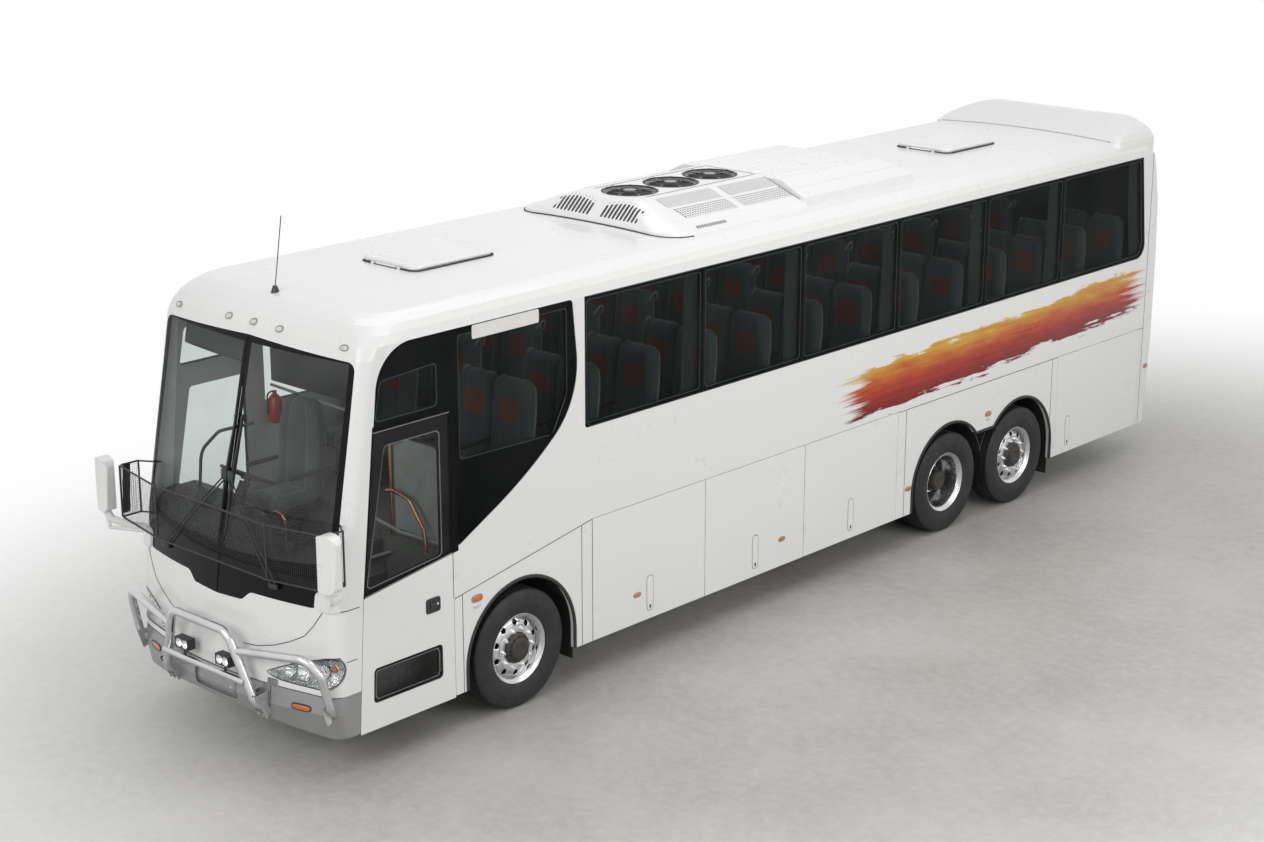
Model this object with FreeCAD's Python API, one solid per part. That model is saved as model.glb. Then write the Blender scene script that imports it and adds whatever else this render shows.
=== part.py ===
import FreeCAD, Part
import os
from math import atan2, cos, hypot, radians, sin, sqrt, tan

V = FreeCAD.Vector

# A three-axle touring coach, right-hand drive, entrance door on its left side.
# +X is the coach's left, -Y its front, +Z up; the origin is on the ground below its middle.
# Every size is in millimetres.

# ---- body ----
half_width = 1250.0
nose_y = -6070.0
tail_y = 6220.0
skirt_z = 350.0
belt_z = 1467.0              # underside of the side walls above the luggage doors
sill_z = 2287.0              # lower edge of the saloon glass
head_z = 3420.0              # upper edge of the saloon glass
wall_top_z = 3450.0
roof_z = 3660.0
wall = 50.0
glass = 8.0
seal = 0.3                   # gap round a fixed pane, lamp or lining
leaf_gap = 8.0               # gap round a door or flap
rear_split_y = 5950.0
crown_sag = 40.0
far = 9000.0

# Plan sections of the body: height, set-back of the nose, bow of the front over its width,
# radius of the front corners, set-back of the tail, narrowing of each side, radius of the rear
# corners, and how far the skin leans back there (0 upright, 1 flat).
sections = (
    (skirt_z, 45.0, 190.0, 160.0, 60.0, 0.0, 90.0, 0.0),
    (560.0, 0.0, 190.0, 160.0, 45.0, 0.0, 90.0, 0.0),
    (740.0, 20.0, 188.0, 160.0, 40.0, 0.0, 90.0, 0.0),
    (1340.0, 75.0, 170.0, 150.0, 0.0, 0.0, 90.0, 0.0),
    (1700.0, 130.0, 165.0, 140.0, 0.0, 0.0, 90.0, 0.0),
    (2300.0, 268.0, 140.0, 130.0, 0.0, 0.0, 90.0, 0.0),
    (2900.0, 406.0, 120.0, 115.0, 25.0, 0.0, 100.0, 0.0),
    (3330.0, 505.0, 100.0, 115.0, 100.0, 0.0, 120.0, 0.1),
    (3423.0, 549.0, 98.0, 150.0, 125.0, 0.0, 150.0, 0.25),
    (3500.0, 609.0, 95.0, 205.0, 175.0, 15.0, 190.0, 0.5),
    (3560.0, 676.0, 90.0, 265.0, 246.0, 52.0, 240.0, 0.75),
    (3600.0, 739.0, 85.0, 320.0, 290.0, 101.0, 270.0, 0.88),
    (3620.0, 781.0, 80.0, 360.0, 320.0, 147.0, 290.0, 0.94),
    (3700.0, 1220.0, 70.0, 500.0, 600.0, 500.0, 400.0, 1.0),
)
bow_span = 1180.0            # half-width over which the bow of the front is given
rear_bow = 30.0

# ---- wheels ----
front_axle_y = -3830.0
drive_axle_y = 2270.0
tag_axle_y = 3520.0
tyre_r = 522.0
tyre_width = 294.0
rim_r = 302.0
wheel_x = 1085.0             # middle of an outer tyre
twin_pitch = 330.0
kingpin_x = 880.0
running_gap = 0.3            # radial gap of hubs, pins and shafts
arch_r = 630.0
arch_z = 530.0
arch_dip_z = 950.0           # underside of the tongue between the two rear arches
liner = 12.0
liner_gap = 15.0
liner_in_x = 560.0
steer_limit = 38.0

# ---- floors ----
floor_z = 1600.0
floor_t = 50.0
platform_z = 1250.0
platform_end_y = -4400.0
bay_floor_z = 440.0
bay_floor_t = 40.0

# ---- doors and flaps ----
door_front = ((skirt_z - 30.0, -5620.0), (1470.0, -5540.0), (2770.0, -5400.0), (wall_top_z, -5330.0))
door_rear_y = -4590.0
door_top_z = 2770.0
bay_edges_y = (-2980.0, -1510.0, -86.0, 1380.0)
flap_edges_y = (4230.0, 5890.0)
leaf_t = 28.0
leaf_back_gap = 6.0
lip = 30.0
hinge_pin_r = 3.5
hinge_eye_r = 8.0
hinge_inset = 8.0            # from the outer face to the hinge axis

# ---- towing sockets ----
tow_x = 430.0
tow_bore_r = 22.0
tow_boss_r = 40.0
tow_access_r = 50.0
tow_length = 80.0
front_tow_z = 660.0
front_tow_y = -5900.0
rear_tow_z = 480.0
rear_tow_y = 6140.0

nodes = {}


# ---- shape helpers ----
def block(x0, x1, y0, y1, z0, z1):
    return Part.makeBox(x1 - x0, y1 - y0, z1 - z0, V(x0, y0, z0))


def rod(radius, start, end):
    along = V(*end) - V(*start)
    return Part.makeCylinder(radius, along.Length, V(*start), along)


def ring_rod(outer, inner, start, end):
    return rod(outer, start, end).cut(rod(inner, start, end))


def join(shapes):
    shapes = list(shapes)
    return shapes[0].multiFuse(shapes[1:]).removeSplitter() if len(shapes) > 1 else shapes[0]


def group(shapes):
    return Part.Compound([solid for shape in shapes for solid in shape.Solids])


def other_side(shape):
    return shape.mirror(V(0, 0, 0), V(1, 0, 0))


def both_sides(shape):
    return group((shape, other_side(shape)))


def line(a, b):
    return Part.LineSegment(V(*a), V(*b)).toShape()


def arc(a, b, c):
    return Part.Arc(V(*a), V(*b), V(*c)).toShape()


# An outline from corners (a, b, radius), its sides moved outwards by grow.
def outline(corners, place, grow=0.0):
    count = len(corners)
    doubled = sum(corners[i - 1][0] * corners[i][1] - corners[i][0] * corners[i - 1][1]
                  for i in range(count))
    turn = 1.0 if doubled > 0 else -1.0
    sides = []
    for i in range(count):
        (a, b, _), (c, d, _) = corners[i], corners[(i + 1) % count]
        length = hypot(c - a, d - b)
        u, v = (c - a) / length, (d - b) / length
        sides.append((a + turn * v * grow, b - turn * u * grow, u, v))
    tips = []
    for i in range(count):
        (a, b, u, v), (c, d, s, t) = sides[i - 1], sides[i]
        cross = u * t - v * s
        reach = ((c - a) * t - (d - b) * s) / cross
        bend = atan2(cross, u * s + v * t)
        radius = corners[i][2]
        radius += grow if radius and cross * turn > 0 else (-grow if radius else 0.0)
        cut = radius * tan(abs(bend) / 2)
        x, y = a + u * reach, b + v * reach
        lean = hypot(s - u, t - v)
        depth = radius / cos(bend / 2) - radius
        tips.append(((x - u * cut, y - v * cut), (x + s * cut, y + t * cut),
                     (x + (s - u) / lean * depth, y + (t - v) / lean * depth), radius))
    edges = []
    for i in range(count):
        start, end, middle, radius = tips[i]
        if radius:
            edges.append(arc(place(*start), place(*middle), place(*end)))
        edges.append(line(place(*end), place(*tips[(i + 1) % count][0])))
    return Part.Face(Part.Wire(edges))


def plate_x(corners, x0, x1, grow=0.0):
    return outline(corners, lambda y, z: (x0, y, z), grow).extrude(V(x1 - x0, 0, 0))


def plate_y(corners, y0, y1, grow=0.0):
    return outline(corners, lambda x, z: (x, y0, z), grow).extrude(V(0, y1 - y0, 0))


def plate_z(corners, z0, z1, grow=0.0):
    return outline(corners, lambda x, y: (x, y, z0), grow).extrude(V(0, 0, z1 - z0))


# A bent tube: straight runs with a ball at each bend.
def tube(points, radius):
    runs = [rod(radius, a, b) for a, b in zip(points, points[1:])]
    balls = [Part.makeSphere(radius, V(*p)) for p in points[1:-1]]
    return join(runs + balls)


# A ring turned about the wheel axis from corners (distance along X, radius).
def turned(corners, x, y, z):
    face = Part.Face(Part.makePolygon([V(x + a, y, z + r) for a, r in corners + corners[:1]]))
    return face.revolve(V(x, y, z), V(1, 0, 0), 360)


# ---- body surface ----
# A bowed end with rounded corners, as (across, depth) points: side, corner middle, bow end.
def bowed_end(half, bow, corner, inset):
    big_r = (bow_span ** 2 + bow ** 2) / (2 * bow)
    across = half - corner
    depth = big_r - sqrt((big_r - corner) ** 2 - across ** 2)
    aim = V(across, depth - big_r, 0).normalize()
    middle = (aim + V(1, 0, 0)).normalize()
    small_r = corner - inset
    return ((half - inset, depth),
            (across + middle.x * small_r, depth + middle.y * small_r),
            (across + aim.x * small_r, depth + aim.y * small_r))


def plan_section(row, inset):
    height, nose_back, bow, corner, tail_back, narrow, rear_corner, lean = row
    z = height - inset * lean
    level_inset = inset * sqrt(1 - lean ** 2)
    front = nose_y + nose_back
    rear = tail_y - tail_back
    half = half_width - narrow
    f_side, f_mid, f_bow = ((x, front + d, z) for x, d in bowed_end(half, bow, corner, level_inset))
    r_side, r_mid, r_bow = ((x, rear - d, z) for x, d in bowed_end(half, rear_bow, rear_corner, level_inset))
    mirrored = lambda p: (-p[0], p[1], p[2])
    return Part.Wire([
        arc(f_side, f_mid, f_bow),
        arc(f_bow, (0, front + level_inset, z), mirrored(f_bow)),
        arc(mirrored(f_bow), mirrored(f_mid), mirrored(f_side)),
        line(mirrored(f_side), mirrored(r_side)),
        arc(mirrored(r_side), mirrored(r_mid), mirrored(r_bow)),
        arc(mirrored(r_bow), (0, rear - level_inset, z), r_bow),
        arc(r_bow, r_mid, r_side),
        line(r_side, f_side),
    ])


def front_at(z):
    for low, high in zip(sections, sections[1:]):
        if z <= high[0]:
            share = (z - low[0]) / (high[0] - low[0])
            return nose_y + low[1] + share * (high[1] - low[1])


# The loft of the sections, its top trimmed by the roof's shallow crown.
def body(inset):
    loft = Part.makeLoft([plan_section(row, inset) for row in sections], True, True)
    crown_r = (bow_span ** 2 + crown_sag ** 2) / (2 * crown_sag)
    crown = Part.makeCylinder(crown_r - inset, 2 * far, V(0, -far, roof_z - crown_r), V(0, 1, 0))
    return loft.common(crown)


outer_body = body(0.0)
inner_body = body(wall)
shell = outer_body.cut(inner_body)

# ---- regions of the shell ----
front_line = tuple((y, z, 0) for z, y in door_front)
front_region = plate_x(((-far, 200.0, 0), (front_line[0][0], 200.0, 0)) + front_line
                       + ((-far, wall_top_z, 0),), -far, far)
side_region = plate_x(((front_line[0][0], 200.0, 0),) + front_line
                      + ((rear_split_y, wall_top_z, 0), (rear_split_y, 200.0, 0)), 0, far)
rear_region = block(-far, far, rear_split_y, far, 200.0, wall_top_z)
roof_region = block(-far, far, -far, far, wall_top_z, roof_z + wall)

# ---- front end ----
# Bumper seen from the front: across, height, radius. Its lower edge rises towards the middle.
bumper_outline = ((-1300.0, 350.0, 0), (-1200.0, 352.0, 200), (-300.0, 446.0, 900), (300.0, 446.0, 900),
                  (1200.0, 352.0, 200), (1300.0, 350.0, 0), (1300.0, 700.0, 0), (1150.0, 715.0, 300),
                  (-1150.0, 715.0, 300), (-1300.0, 700.0, 0))
bumper_top = ((-1300.0, 200.0, 0), (1300.0, 200.0, 0)) + bumper_outline[6:]
bumper_zone = plate_y(bumper_outline, -far, 0)
plate_half = 260.0
plate_z0 = 497.0
plate_z1 = 650.0
plate_deep = 14.0
# Windscreen seen from the front, with its black lower mask: across, height, radius.
screen_right = ((0.0, 1318.0, 0), (300.0, 1334.0, 60), (390.0, 1411.0, 90), (1085.0, 1411.0, 120),
                (1188.0, 1770.0, 260), (1167.0, 3312.0, 70), (0.0, 3355.0, 0))
screen = screen_right + tuple((-x, z, r) for x, z, r in reversed(screen_right[1:-1]))
headlamp = ((595.0, 812.0, 20), (720.0, 770.0, 60), (1290.0, 754.0, 0), (1290.0, 1038.0, 0),
            (1150.0, 1030.0, 150), (850.0, 935.0, 200))
headlamp_end_y = -5725.0
divider = 12.0


def skin(depth0, depth1, zone):
    return body(depth0).common(zone).cut(body(depth1))


front_shell = shell.common(front_region)
screen_cut = plate_y(screen, -far, -4500.0)
lamp_cut = both_sides(plate_y(headlamp, -far, headlamp_end_y))
front_panel = front_shell.cut(plate_y(bumper_top, -far, 0)).cut(screen_cut).cut(lamp_cut)
nodes["front_panel"] = front_panel
bumper_shell = front_shell.common(bumper_zone)
plate_recess = block(-plate_half, plate_half, -far, nose_y + 50.0, plate_z0, plate_z1)
front_access = rod(tow_access_r, (tow_x, -far, front_tow_z), (tow_x, -4500.0, front_tow_z))
nodes["bumper"] = bumper_shell.cut(plate_recess.cut(body(plate_deep))).cut(front_access)

screen_zone = plate_y(screen, -far, -4500.0, -seal)
screen_pane = skin(0.0, glass, screen_zone)
left_half = block(divider / 2, far, -far, 0, 0, far)
nodes["windscreen"] = both_sides(screen_pane.common(left_half))

# ---- side glass and openings: along the coach, height, radius ----
pane_edges_y = (-3060.0, -1560.0, -160.0, 1310.0, 2790.0, 4180.0, 5740.0)
pane_gap = 8.0
pillar = 60.0
pane_border = 35.0
end_corner_r = 150.0
end_slant = 150.0            # how far the last pane's lower rear corner lies behind its upper one
# The dark sweep behind the entrance door, and its clear windows.
sweep = ((-5386.0, door_top_z + leaf_gap, 0), (-5316.0, 3423.0, 380), (-3203.0, 3423.0, 40),
         (-3112.0, 2550.0, 760), (-3760.0, 2030.0, 3900), (-4540.0, 1622.0, 20),
         (-4540.0, door_top_z + leaf_gap, 0))
sweep_driver = ((-5532.0, 1482.0, 20), (-5386.0, door_top_z, 300)) + sweep[1:5] + (
    (-4590.0, 1600.0, 300), (-4700.0, 1575.0, 200))
quarter_light = ((-5365.0, 2835.0, 30), (-5300.0, 3155.0, 50), (-4715.0, 3190.0, 40),
                 (-4715.0, 2835.0, 30))
front_window = ((-4490.0, 2338.0, 30), (-3420.0, 2313.0, 150), (-3262.0, 2640.0, 200),
                (-3262.0, 3363.0, 40), (-4490.0, 3363.0, 30))
door_window = ((-5503.0, 1512.0, 30), (-5275.0, 2640.0, 40), (-4700.0, 2640.0, 30),
               (-4700.0, 1592.0, 40))
door_glass_edge = ((-5522.0, 1480.0, 20), (-5385.0, 2750.0, 20), (-4612.0, 2750.0, 20),
                   (-4612.0, 1604.0, 20))
lower_window = ((-5470.0, 554.0, 40), (-5455.0, 846.0, 40), (-4725.0, 846.0, 40),
                (-4725.0, 554.0, 40))
glass_in = half_width - glass
glass_seat = glass_in - seal
sweep_splits = (block(glass_seat, far, -4604.0, -4596.0, door_top_z, wall_top_z),
                block(glass_seat, far, -4700.0, -3000.0, 2266.0, 2272.0))
driver_splits = (block(glass_seat, far, -4604.0, -4596.0, 1300.0, wall_top_z),
                 block(glass_seat, far, -5600.0, -4600.0, door_top_z - 3, door_top_z + 3),
                 block(glass_seat, far, -4600.0, -3000.0, 2266.0, 2272.0))


def pane_outline(i, y0, y1):
    low_front = 30.0 if i == 0 else 0
    last = i == len(pane_edges_y) - 2
    return ((y0, sill_z, low_front), (y1 + end_slant * last, sill_z, end_corner_r * last), (y1, head_z, 0),
            (y0, head_z, 0))


def window_band():
    panes = []
    openings = []
    last = len(pane_edges_y) - 2
    for i, (y0, y1) in enumerate(zip(pane_edges_y, pane_edges_y[1:])):
        front = y0 + (0 if i == 0 else pane_gap / 2)
        rear = y1 - (0 if i == last else pane_gap / 2)
        panes.append(plate_x(pane_outline(i, front, rear), glass_in, half_width, -seal))
        low_y1 = y1 - pillar / 2 + (end_slant if i == last else 0)
        hole = ((y0 + pillar / 2, sill_z + pane_border, 40), (low_y1, sill_z + pane_border,
                110 if i == last else 40), (y1 - pillar / 2, head_z - pane_border, 40),
                (y0 + pillar / 2, head_z - pane_border, 40))
        openings.append(plate_x(hole, 0, far))
    band = ((pane_edges_y[0], sill_z, 30), (pane_edges_y[-1] + end_slant, sill_z, end_corner_r),
            (pane_edges_y[-1], head_z, 0), (pane_edges_y[0], head_z, 0))
    return panes, openings, plate_x(band, glass_seat, far)


def split_panes(corners, cuts):
    pane = plate_x(corners, glass_in, half_width, -seal)
    for cut in cuts:
        pane = pane.cut(cut)
    return pane


def arch(y, radius):
    return join((rod(radius, (0, y, arch_z), (far, y, arch_z)),
                 block(0, far, y - radius, y + radius, 0, arch_z)))


# Recess and way through for a row of top-hinged leaves between two stations along the side.
def leaf_recess(y0, y1):
    return block(half_width - leaf_t - leaf_back_gap, far, y0, y1, 0, belt_z)


def leaf_way(y0, y1):
    return block(0, far, y0 + lip, y1 - lip, bay_floor_z, belt_z - lip - hinge_eye_r)


hinge_x = half_width - hinge_inset
hinge_z = belt_z - hinge_eye_r - 5.0
pin_reach = 20.0             # of a hinge pin into the wall at each end


def side_wall(door_side):
    wall_shape = shell.common(side_region)
    panes, openings, band_seat = window_band()
    edge = sweep if door_side else sweep_driver
    pane_seats = [band_seat, plate_x(edge, glass_seat, far)]
    openings += [plate_x(quarter_light, 0, far), plate_x(front_window, 0, far)]
    if not door_side:
        openings.append(plate_x(door_window, 0, far))
    cuts = pane_seats + openings
    cuts += [arch(front_axle_y, arch_r), arch(drive_axle_y, arch_r), arch(tag_axle_y, arch_r),
             block(0, far, drive_axle_y, tag_axle_y, 0, arch_dip_z)]
    cuts.append(leaf_recess(bay_edges_y[0], bay_edges_y[-1]))
    cuts += [leaf_way(a, b) for a, b in zip(bay_edges_y, bay_edges_y[1:])]
    cuts.append(leaf_recess(*flap_edges_y))
    cuts.append(leaf_way(*flap_edges_y))
    if door_side:
        doorway = ((front_line[0][0] - 50, 0, 0),) + front_line[:3] + (
            (door_rear_y, door_top_z, 0), (door_rear_y, 0, 0))
        cuts.append(plate_x(doorway, 0, far))
    wall_shape = wall_shape.cut(cuts)
    hinge_rods = [rod(hinge_pin_r, (hinge_x, a - pin_reach, hinge_z), (hinge_x, b + pin_reach, hinge_z))
                  for a, b in ((bay_edges_y[0], bay_edges_y[-1]), flap_edges_y)]
    wall_shape = join([wall_shape] + hinge_rods)
    glazing = panes + [split_panes(edge, sweep_splits if door_side else driver_splits)]
    return wall_shape, group(glazing)


nodes["left_wall"], left_glass = side_wall(True)
right_wall, right_glass = side_wall(False)
nodes["right_wall"] = other_side(right_wall)


# ---- luggage doors and rear side flaps ----
def leaf(y0, y1):
    y0 += leaf_gap / 2
    y1 -= leaf_gap / 2
    panel = block(half_width - leaf_t, half_width, y0, y1, skirt_z, hinge_z)
    eye = rod(hinge_eye_r, (hinge_x, y0, hinge_z), (hinge_x, y1, hinge_z))
    bore = rod(hinge_pin_r + running_gap, (hinge_x, y0, hinge_z), (hinge_x, y1, hinge_z))
    room = block(0, half_width - 2 * hinge_eye_r, y0, y1, hinge_z - hinge_eye_r, hinge_z + 20)
    return join((panel, eye)).cut(bore).cut(room)


leaves = [("luggage_door_%d" % (i + 1), a, b)
          for i, (a, b) in enumerate(zip(bay_edges_y, bay_edges_y[1:]))]
leaves.append(("engine_flap", flap_edges_y[0], flap_edges_y[1]))
for name, start_y, end_y in leaves:
    nodes[name + "_left"] = leaf(start_y, end_y)
    nodes[name + "_right"] = other_side(nodes[name + "_left"])

# ---- roof ----
hatch_half = 330.0
hatch_corner = 70.0
hatch_edges_y = ((-4120.0, -3190.0), (3325.0, 4220.0))
hatch_names = ("roof_hatch_front", "roof_hatch_rear")
hatch_rise = 42.0
hatch_rim = 30.0
roof = shell.common(roof_region)
for (y0, y1) in hatch_edges_y:
    hole = ((-hatch_half + hatch_rim, y0 + hatch_rim, 50), (hatch_half - hatch_rim, y0 + hatch_rim, 50),
            (hatch_half - hatch_rim, y1 - hatch_rim, 50), (-hatch_half + hatch_rim, y1 - hatch_rim, 50))
    roof = roof.cut(plate_z(hole, 3000.0, 4000.0))
    frame_pad = plate_z(hole, roof_z - 30, roof_z + 5, hatch_rim / 2).cut(plate_z(hole, 3000, 4000))
    hinge_axis = (y0, roof_z + 14.0)
    lugs = [block(x - 12, x + 12, y0 - 10, y0 + 10, roof_z - 12, roof_z + 20)
            for x in (-160.0, 160.0)]
    pin = rod(hinge_pin_r, (-172, y0, hinge_axis[1]), (172, y0, hinge_axis[1]))
    roof = join([roof, frame_pad.cut(inner_body)] + [lug.cut(inner_body) for lug in lugs] + [pin])
for name, (y0, y1) in zip(hatch_names, hatch_edges_y):
    lid_outline = ((-hatch_half, y0 + 20, hatch_corner), (hatch_half, y0 + 20, hatch_corner),
                   (hatch_half, y1, hatch_corner), (-hatch_half, y1, hatch_corner))
    lid = plate_z(lid_outline, roof_z + 14, roof_z + hatch_rise)
    arm = block(-120, 120, y0, y0 + 60, roof_z + 14 - 7, roof_z + 14 + 7)
    eye = rod(7.0, (-120, y0, roof_z + 14), (120, y0, roof_z + 14))
    lid = join((lid, arm, eye)).cut(rod(hinge_pin_r + running_gap, (-130, y0, roof_z + 14),
                                        (130, y0, roof_z + 14)))
    nodes[name] = lid
nodes["roof"] = roof

# ---- rear end ----
rear_window = ((-980.0, 2330.0, 90), (980.0, 2330.0, 90), (940.0, 3180.0, 90), (-940.0, 3180.0, 90))
engine_door_half = 900.0
engine_door_z = (620.0, 1760.0)
tail_lamp = ((1010.0, 860.0, 40), (1190.0, 860.0, 40), (1190.0, 1500.0, 40), (1010.0, 1500.0, 40))
rear_cut_y = 5000.0
engine_hinge_z = engine_door_z[1] - leaf_gap / 2
engine_hinge_y = tail_y - 2.0
engine_hinge_x = (-550.0, 550.0)
hinge_half = 30.0
ear = 8.0
rear_shell = shell.common(rear_region)
engine_hole = ((-engine_door_half, engine_door_z[0], 0), (engine_door_half, engine_door_z[0], 0),
               (engine_door_half, engine_door_z[1], 0), (-engine_door_half, engine_door_z[1], 0))
rear_panel = rear_shell.cut([plate_y(rear_window, rear_cut_y, far), plate_y(engine_hole, rear_cut_y, far),
                             both_sides(plate_y(tail_lamp, rear_cut_y, far))])
hinge_face = engine_hinge_y + hinge_eye_r - 0.5
pins = []
ears = []
eyes = []
bores = []
reliefs = []
for x in engine_hinge_x:
    pins.append(rod(hinge_pin_r, (x - hinge_half - ear, engine_hinge_y, engine_hinge_z),
                    (x + hinge_half + ear, engine_hinge_y, engine_hinge_z)))
    for x0 in (x - hinge_half - ear, x + hinge_half):
        ears.append(block(x0, x0 + ear, tail_y - 30.0, hinge_face, engine_hinge_z - 5, engine_hinge_z + 40))
    eyes.append(rod(hinge_eye_r, (x - hinge_half + 1, engine_hinge_y, engine_hinge_z),
                    (x + hinge_half - 1, engine_hinge_y, engine_hinge_z)))
    eyes.append(block(x - hinge_half + 1, x + hinge_half - 1, tail_y - 25.0, hinge_face,
                      engine_hinge_z - 50, engine_hinge_z - 3))
    reliefs.append(rod(hinge_eye_r + leaf_gap / 2, (x - hinge_half, engine_hinge_y, engine_hinge_z),
                       (x + hinge_half, engine_hinge_y, engine_hinge_z)))
    bores.append(rod(hinge_pin_r + running_gap, (x - 50, engine_hinge_y, engine_hinge_z),
                     (x + 50, engine_hinge_y, engine_hinge_z)))
rear_access = rod(tow_access_r, (tow_x, rear_cut_y, rear_tow_z), (tow_x, far, rear_tow_z))
nodes["rear_panel"] = join([rear_panel.cut([rear_access] + reliefs)] + pins + ears)
door_zone = plate_y(engine_hole, rear_cut_y, far, -leaf_gap)
engine_leaf = skin(0.0, 30.0, door_zone)
engine_leaf = engine_leaf.cut([block(x - hinge_half - ear - 6, x + hinge_half + ear + 6, rear_cut_y, far,
                                     engine_hinge_z - 10, far) for x in engine_hinge_x])
nodes["engine_door"] = join([engine_leaf] + eyes).cut(bores)
rear_pane = skin(0.0, glass, plate_y(rear_window, rear_cut_y, far, -seal))
nodes["side_windows"] = group((left_glass, other_side(right_glass), rear_pane))

# ---- entrance door ----
arm_pivot = (1130.0, -5420.0)
arm_reach = 620.0
arm_levels = (930.0, 1360.0)
arm_shaft_r = 22.0
door_pin_r = 12.0
door_pin = (arm_pivot[0], arm_pivot[1] + arm_reach)
door_edge = ((front_line[0][0], skirt_z - 20, 0), front_line[1], (front_line[2][0], door_top_z, 0),
             (door_rear_y, door_top_z, 0), (door_rear_y, skirt_z - 20, 0))
door_panel = plate_x(door_edge, half_width - wall, half_width, -leaf_gap / 2)
door_panel = door_panel.cut([plate_x(door_glass_edge, glass_seat, far), plate_x(door_window, 0, far),
                             plate_x(lower_window, glass_seat, far),
                             plate_x(lower_window, 0, far, -25.0)])
pin_bosses = []
for z in arm_levels:
    boss = block(door_pin[0] - 30, half_width - wall, door_pin[1] - 30, door_pin[1] + 30, z + 26, z + 60)
    pin_bosses += [boss, rod(door_pin_r, (*door_pin, z - 20), (*door_pin, z + 30))]
nodes["entrance_door"] = join([door_panel] + pin_bosses)
nodes["door_glass"] = group((plate_x(door_glass_edge, glass_in, half_width, -seal),
                             plate_x(lower_window, glass_in, half_width, -seal)))
shaft = rod(arm_shaft_r, (*arm_pivot, arm_levels[0] - 60), (*arm_pivot, arm_levels[1] + 60))
arms = [block(arm_pivot[0] - 18, arm_pivot[0] + 18, arm_pivot[1], door_pin[1], z - 20, z + 20)
        for z in arm_levels]
eyes = [rod(28.0, (*door_pin, z - 20), (*door_pin, z + 20)) for z in arm_levels]
bores = [rod(door_pin_r + running_gap, (*door_pin, z - 30), (*door_pin, z + 40)) for z in arm_levels]
nodes["door_arm"] = join([shaft] + arms + eyes).cut(bores)

# ---- floors and underframe ----
stair_x = 480.0
stair_y = (-5580.0, -4630.0)
step_count = 3
door_step_z = 400.0
tread_t = 30.0
landing_drop = 20.0
bulkheads_y = (-2960.0, -1510.0, -86.0, 1360.0)
inside = half_width - wall - seal
saloon = block(-inside, inside, platform_end_y, rear_split_y - 100, floor_z - floor_t, floor_z)
platform = block(-inside, stair_x - seal, -5780.0, platform_end_y - floor_t - seal, platform_z - floor_t,
                 platform_z)
riser = block(-inside, inside, platform_end_y - floor_t, platform_end_y, platform_z - floor_t, floor_z)
step_z = [platform_z - (platform_z - door_step_z) / step_count * (i + 1) for i in range(step_count)]
step_x = [stair_x + (inside - stair_x) / step_count * i for i in range(step_count + 1)]
step_y = (stair_y[0], stair_y[1] - seal)
stairs = [block(stair_x, inside, stair_y[0], stair_y[0] + tread_t / 2, door_step_z - tread_t, platform_z)]
for i, z in enumerate(step_z):
    above = step_z[i - 1] if i else platform_z
    stairs.append(block(step_x[i], step_x[i + 1], *step_y, z - tread_t, z))
    stairs.append(block(step_x[i], step_x[i] + tread_t / 2, *step_y, z - tread_t, above))
landing = block(stair_x, inside, stair_y[1], platform_end_y, floor_z - floor_t - landing_drop,
                floor_z - landing_drop)
stair_wall = block(stair_x, inside, stair_y[1], stair_y[1] + tread_t / 2, door_step_z - tread_t,
                   floor_z - floor_t - landing_drop - seal)
aisle_step = block(-230.0, 230.0, platform_end_y - 280.0, platform_end_y, platform_z + seal,
                   (platform_z + floor_z) / 2)
floor = group((join((saloon, riser, landing, aisle_step)), platform, join(stairs), stair_wall))
nodes["cabin_floor"] = floor.common(body(wall + seal))

rail_x = 430.0
rail_half = 35.0
rail_z = (600.0, 800.0)
spring_r = 110.0
bulkhead_half = 15.0
rear_lift = 150.0            # the rear frame rides this much higher than the front one
jack_half = 70.0
jack_t = 20.0
front_jack_y = -4950.0
rear_jack_y = 4280.0
front_rails = [block(s * rail_x - rail_half, s * rail_x + rail_half, -5700.0,
                     bulkheads_y[0] - bulkhead_half - seal, *rail_z) for s in (-1, 1)]
rear_rails = [block(s * rail_x - rail_half, s * rail_x + rail_half,
                    bulkheads_y[-1] + bulkhead_half + seal, 6000.0, rail_z[0] + rear_lift,
                    rail_z[1] + rear_lift) for s in (-1, 1)]
cross_reach = rail_x - rail_half - seal
cross_half = 40.0
front_cross_y = -5600.0
cross_members = [block(-cross_reach, cross_reach, y - cross_half, y + cross_half, rail_z[0] + lift,
                       rail_z[1] + lift)
                 for y, lift in ((front_cross_y, 0.0), (-4700.0, 0.0), (-3100.0, 0.0), (2880.0, rear_lift),
                                 (4250.0, rear_lift), (5900.0, rear_lift))]
bay_floor = block(-inside, inside, bay_edges_y[0], bay_edges_y[-1], bay_floor_z - bay_floor_t,
                  bay_floor_z)
walls = [block(-inside, inside, y - bulkhead_half, y + bulkhead_half, bay_floor_z - bay_floor_t,
               floor_z - floor_t) for y in bulkheads_y]
nodes["luggage_bays"] = join([bay_floor] + walls)
post_half = 30.0
posts = [block(s * rail_x - post_half, s * rail_x + post_half, y - post_half, y + post_half,
               rail_z[1] + lift + seal, top - floor_t)
         for s, y, lift, top in ((-1, -5300.0, 0.0, platform_z), (-1, -4700.0, 0.0, platform_z),
                                 (-1, -3700.0, 0.0, floor_z), (1, -3700.0, 0.0, floor_z),
                                 (-1, 2900.0, rear_lift, floor_z), (1, 2900.0, rear_lift, floor_z),
                                 (-1, 4300.0, rear_lift, floor_z), (1, 4300.0, rear_lift, floor_z))]
front_boss = rod(tow_boss_r, (tow_x, front_tow_y, front_tow_z),
                 (tow_x, front_cross_y - cross_half - seal, front_tow_z))
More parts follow.
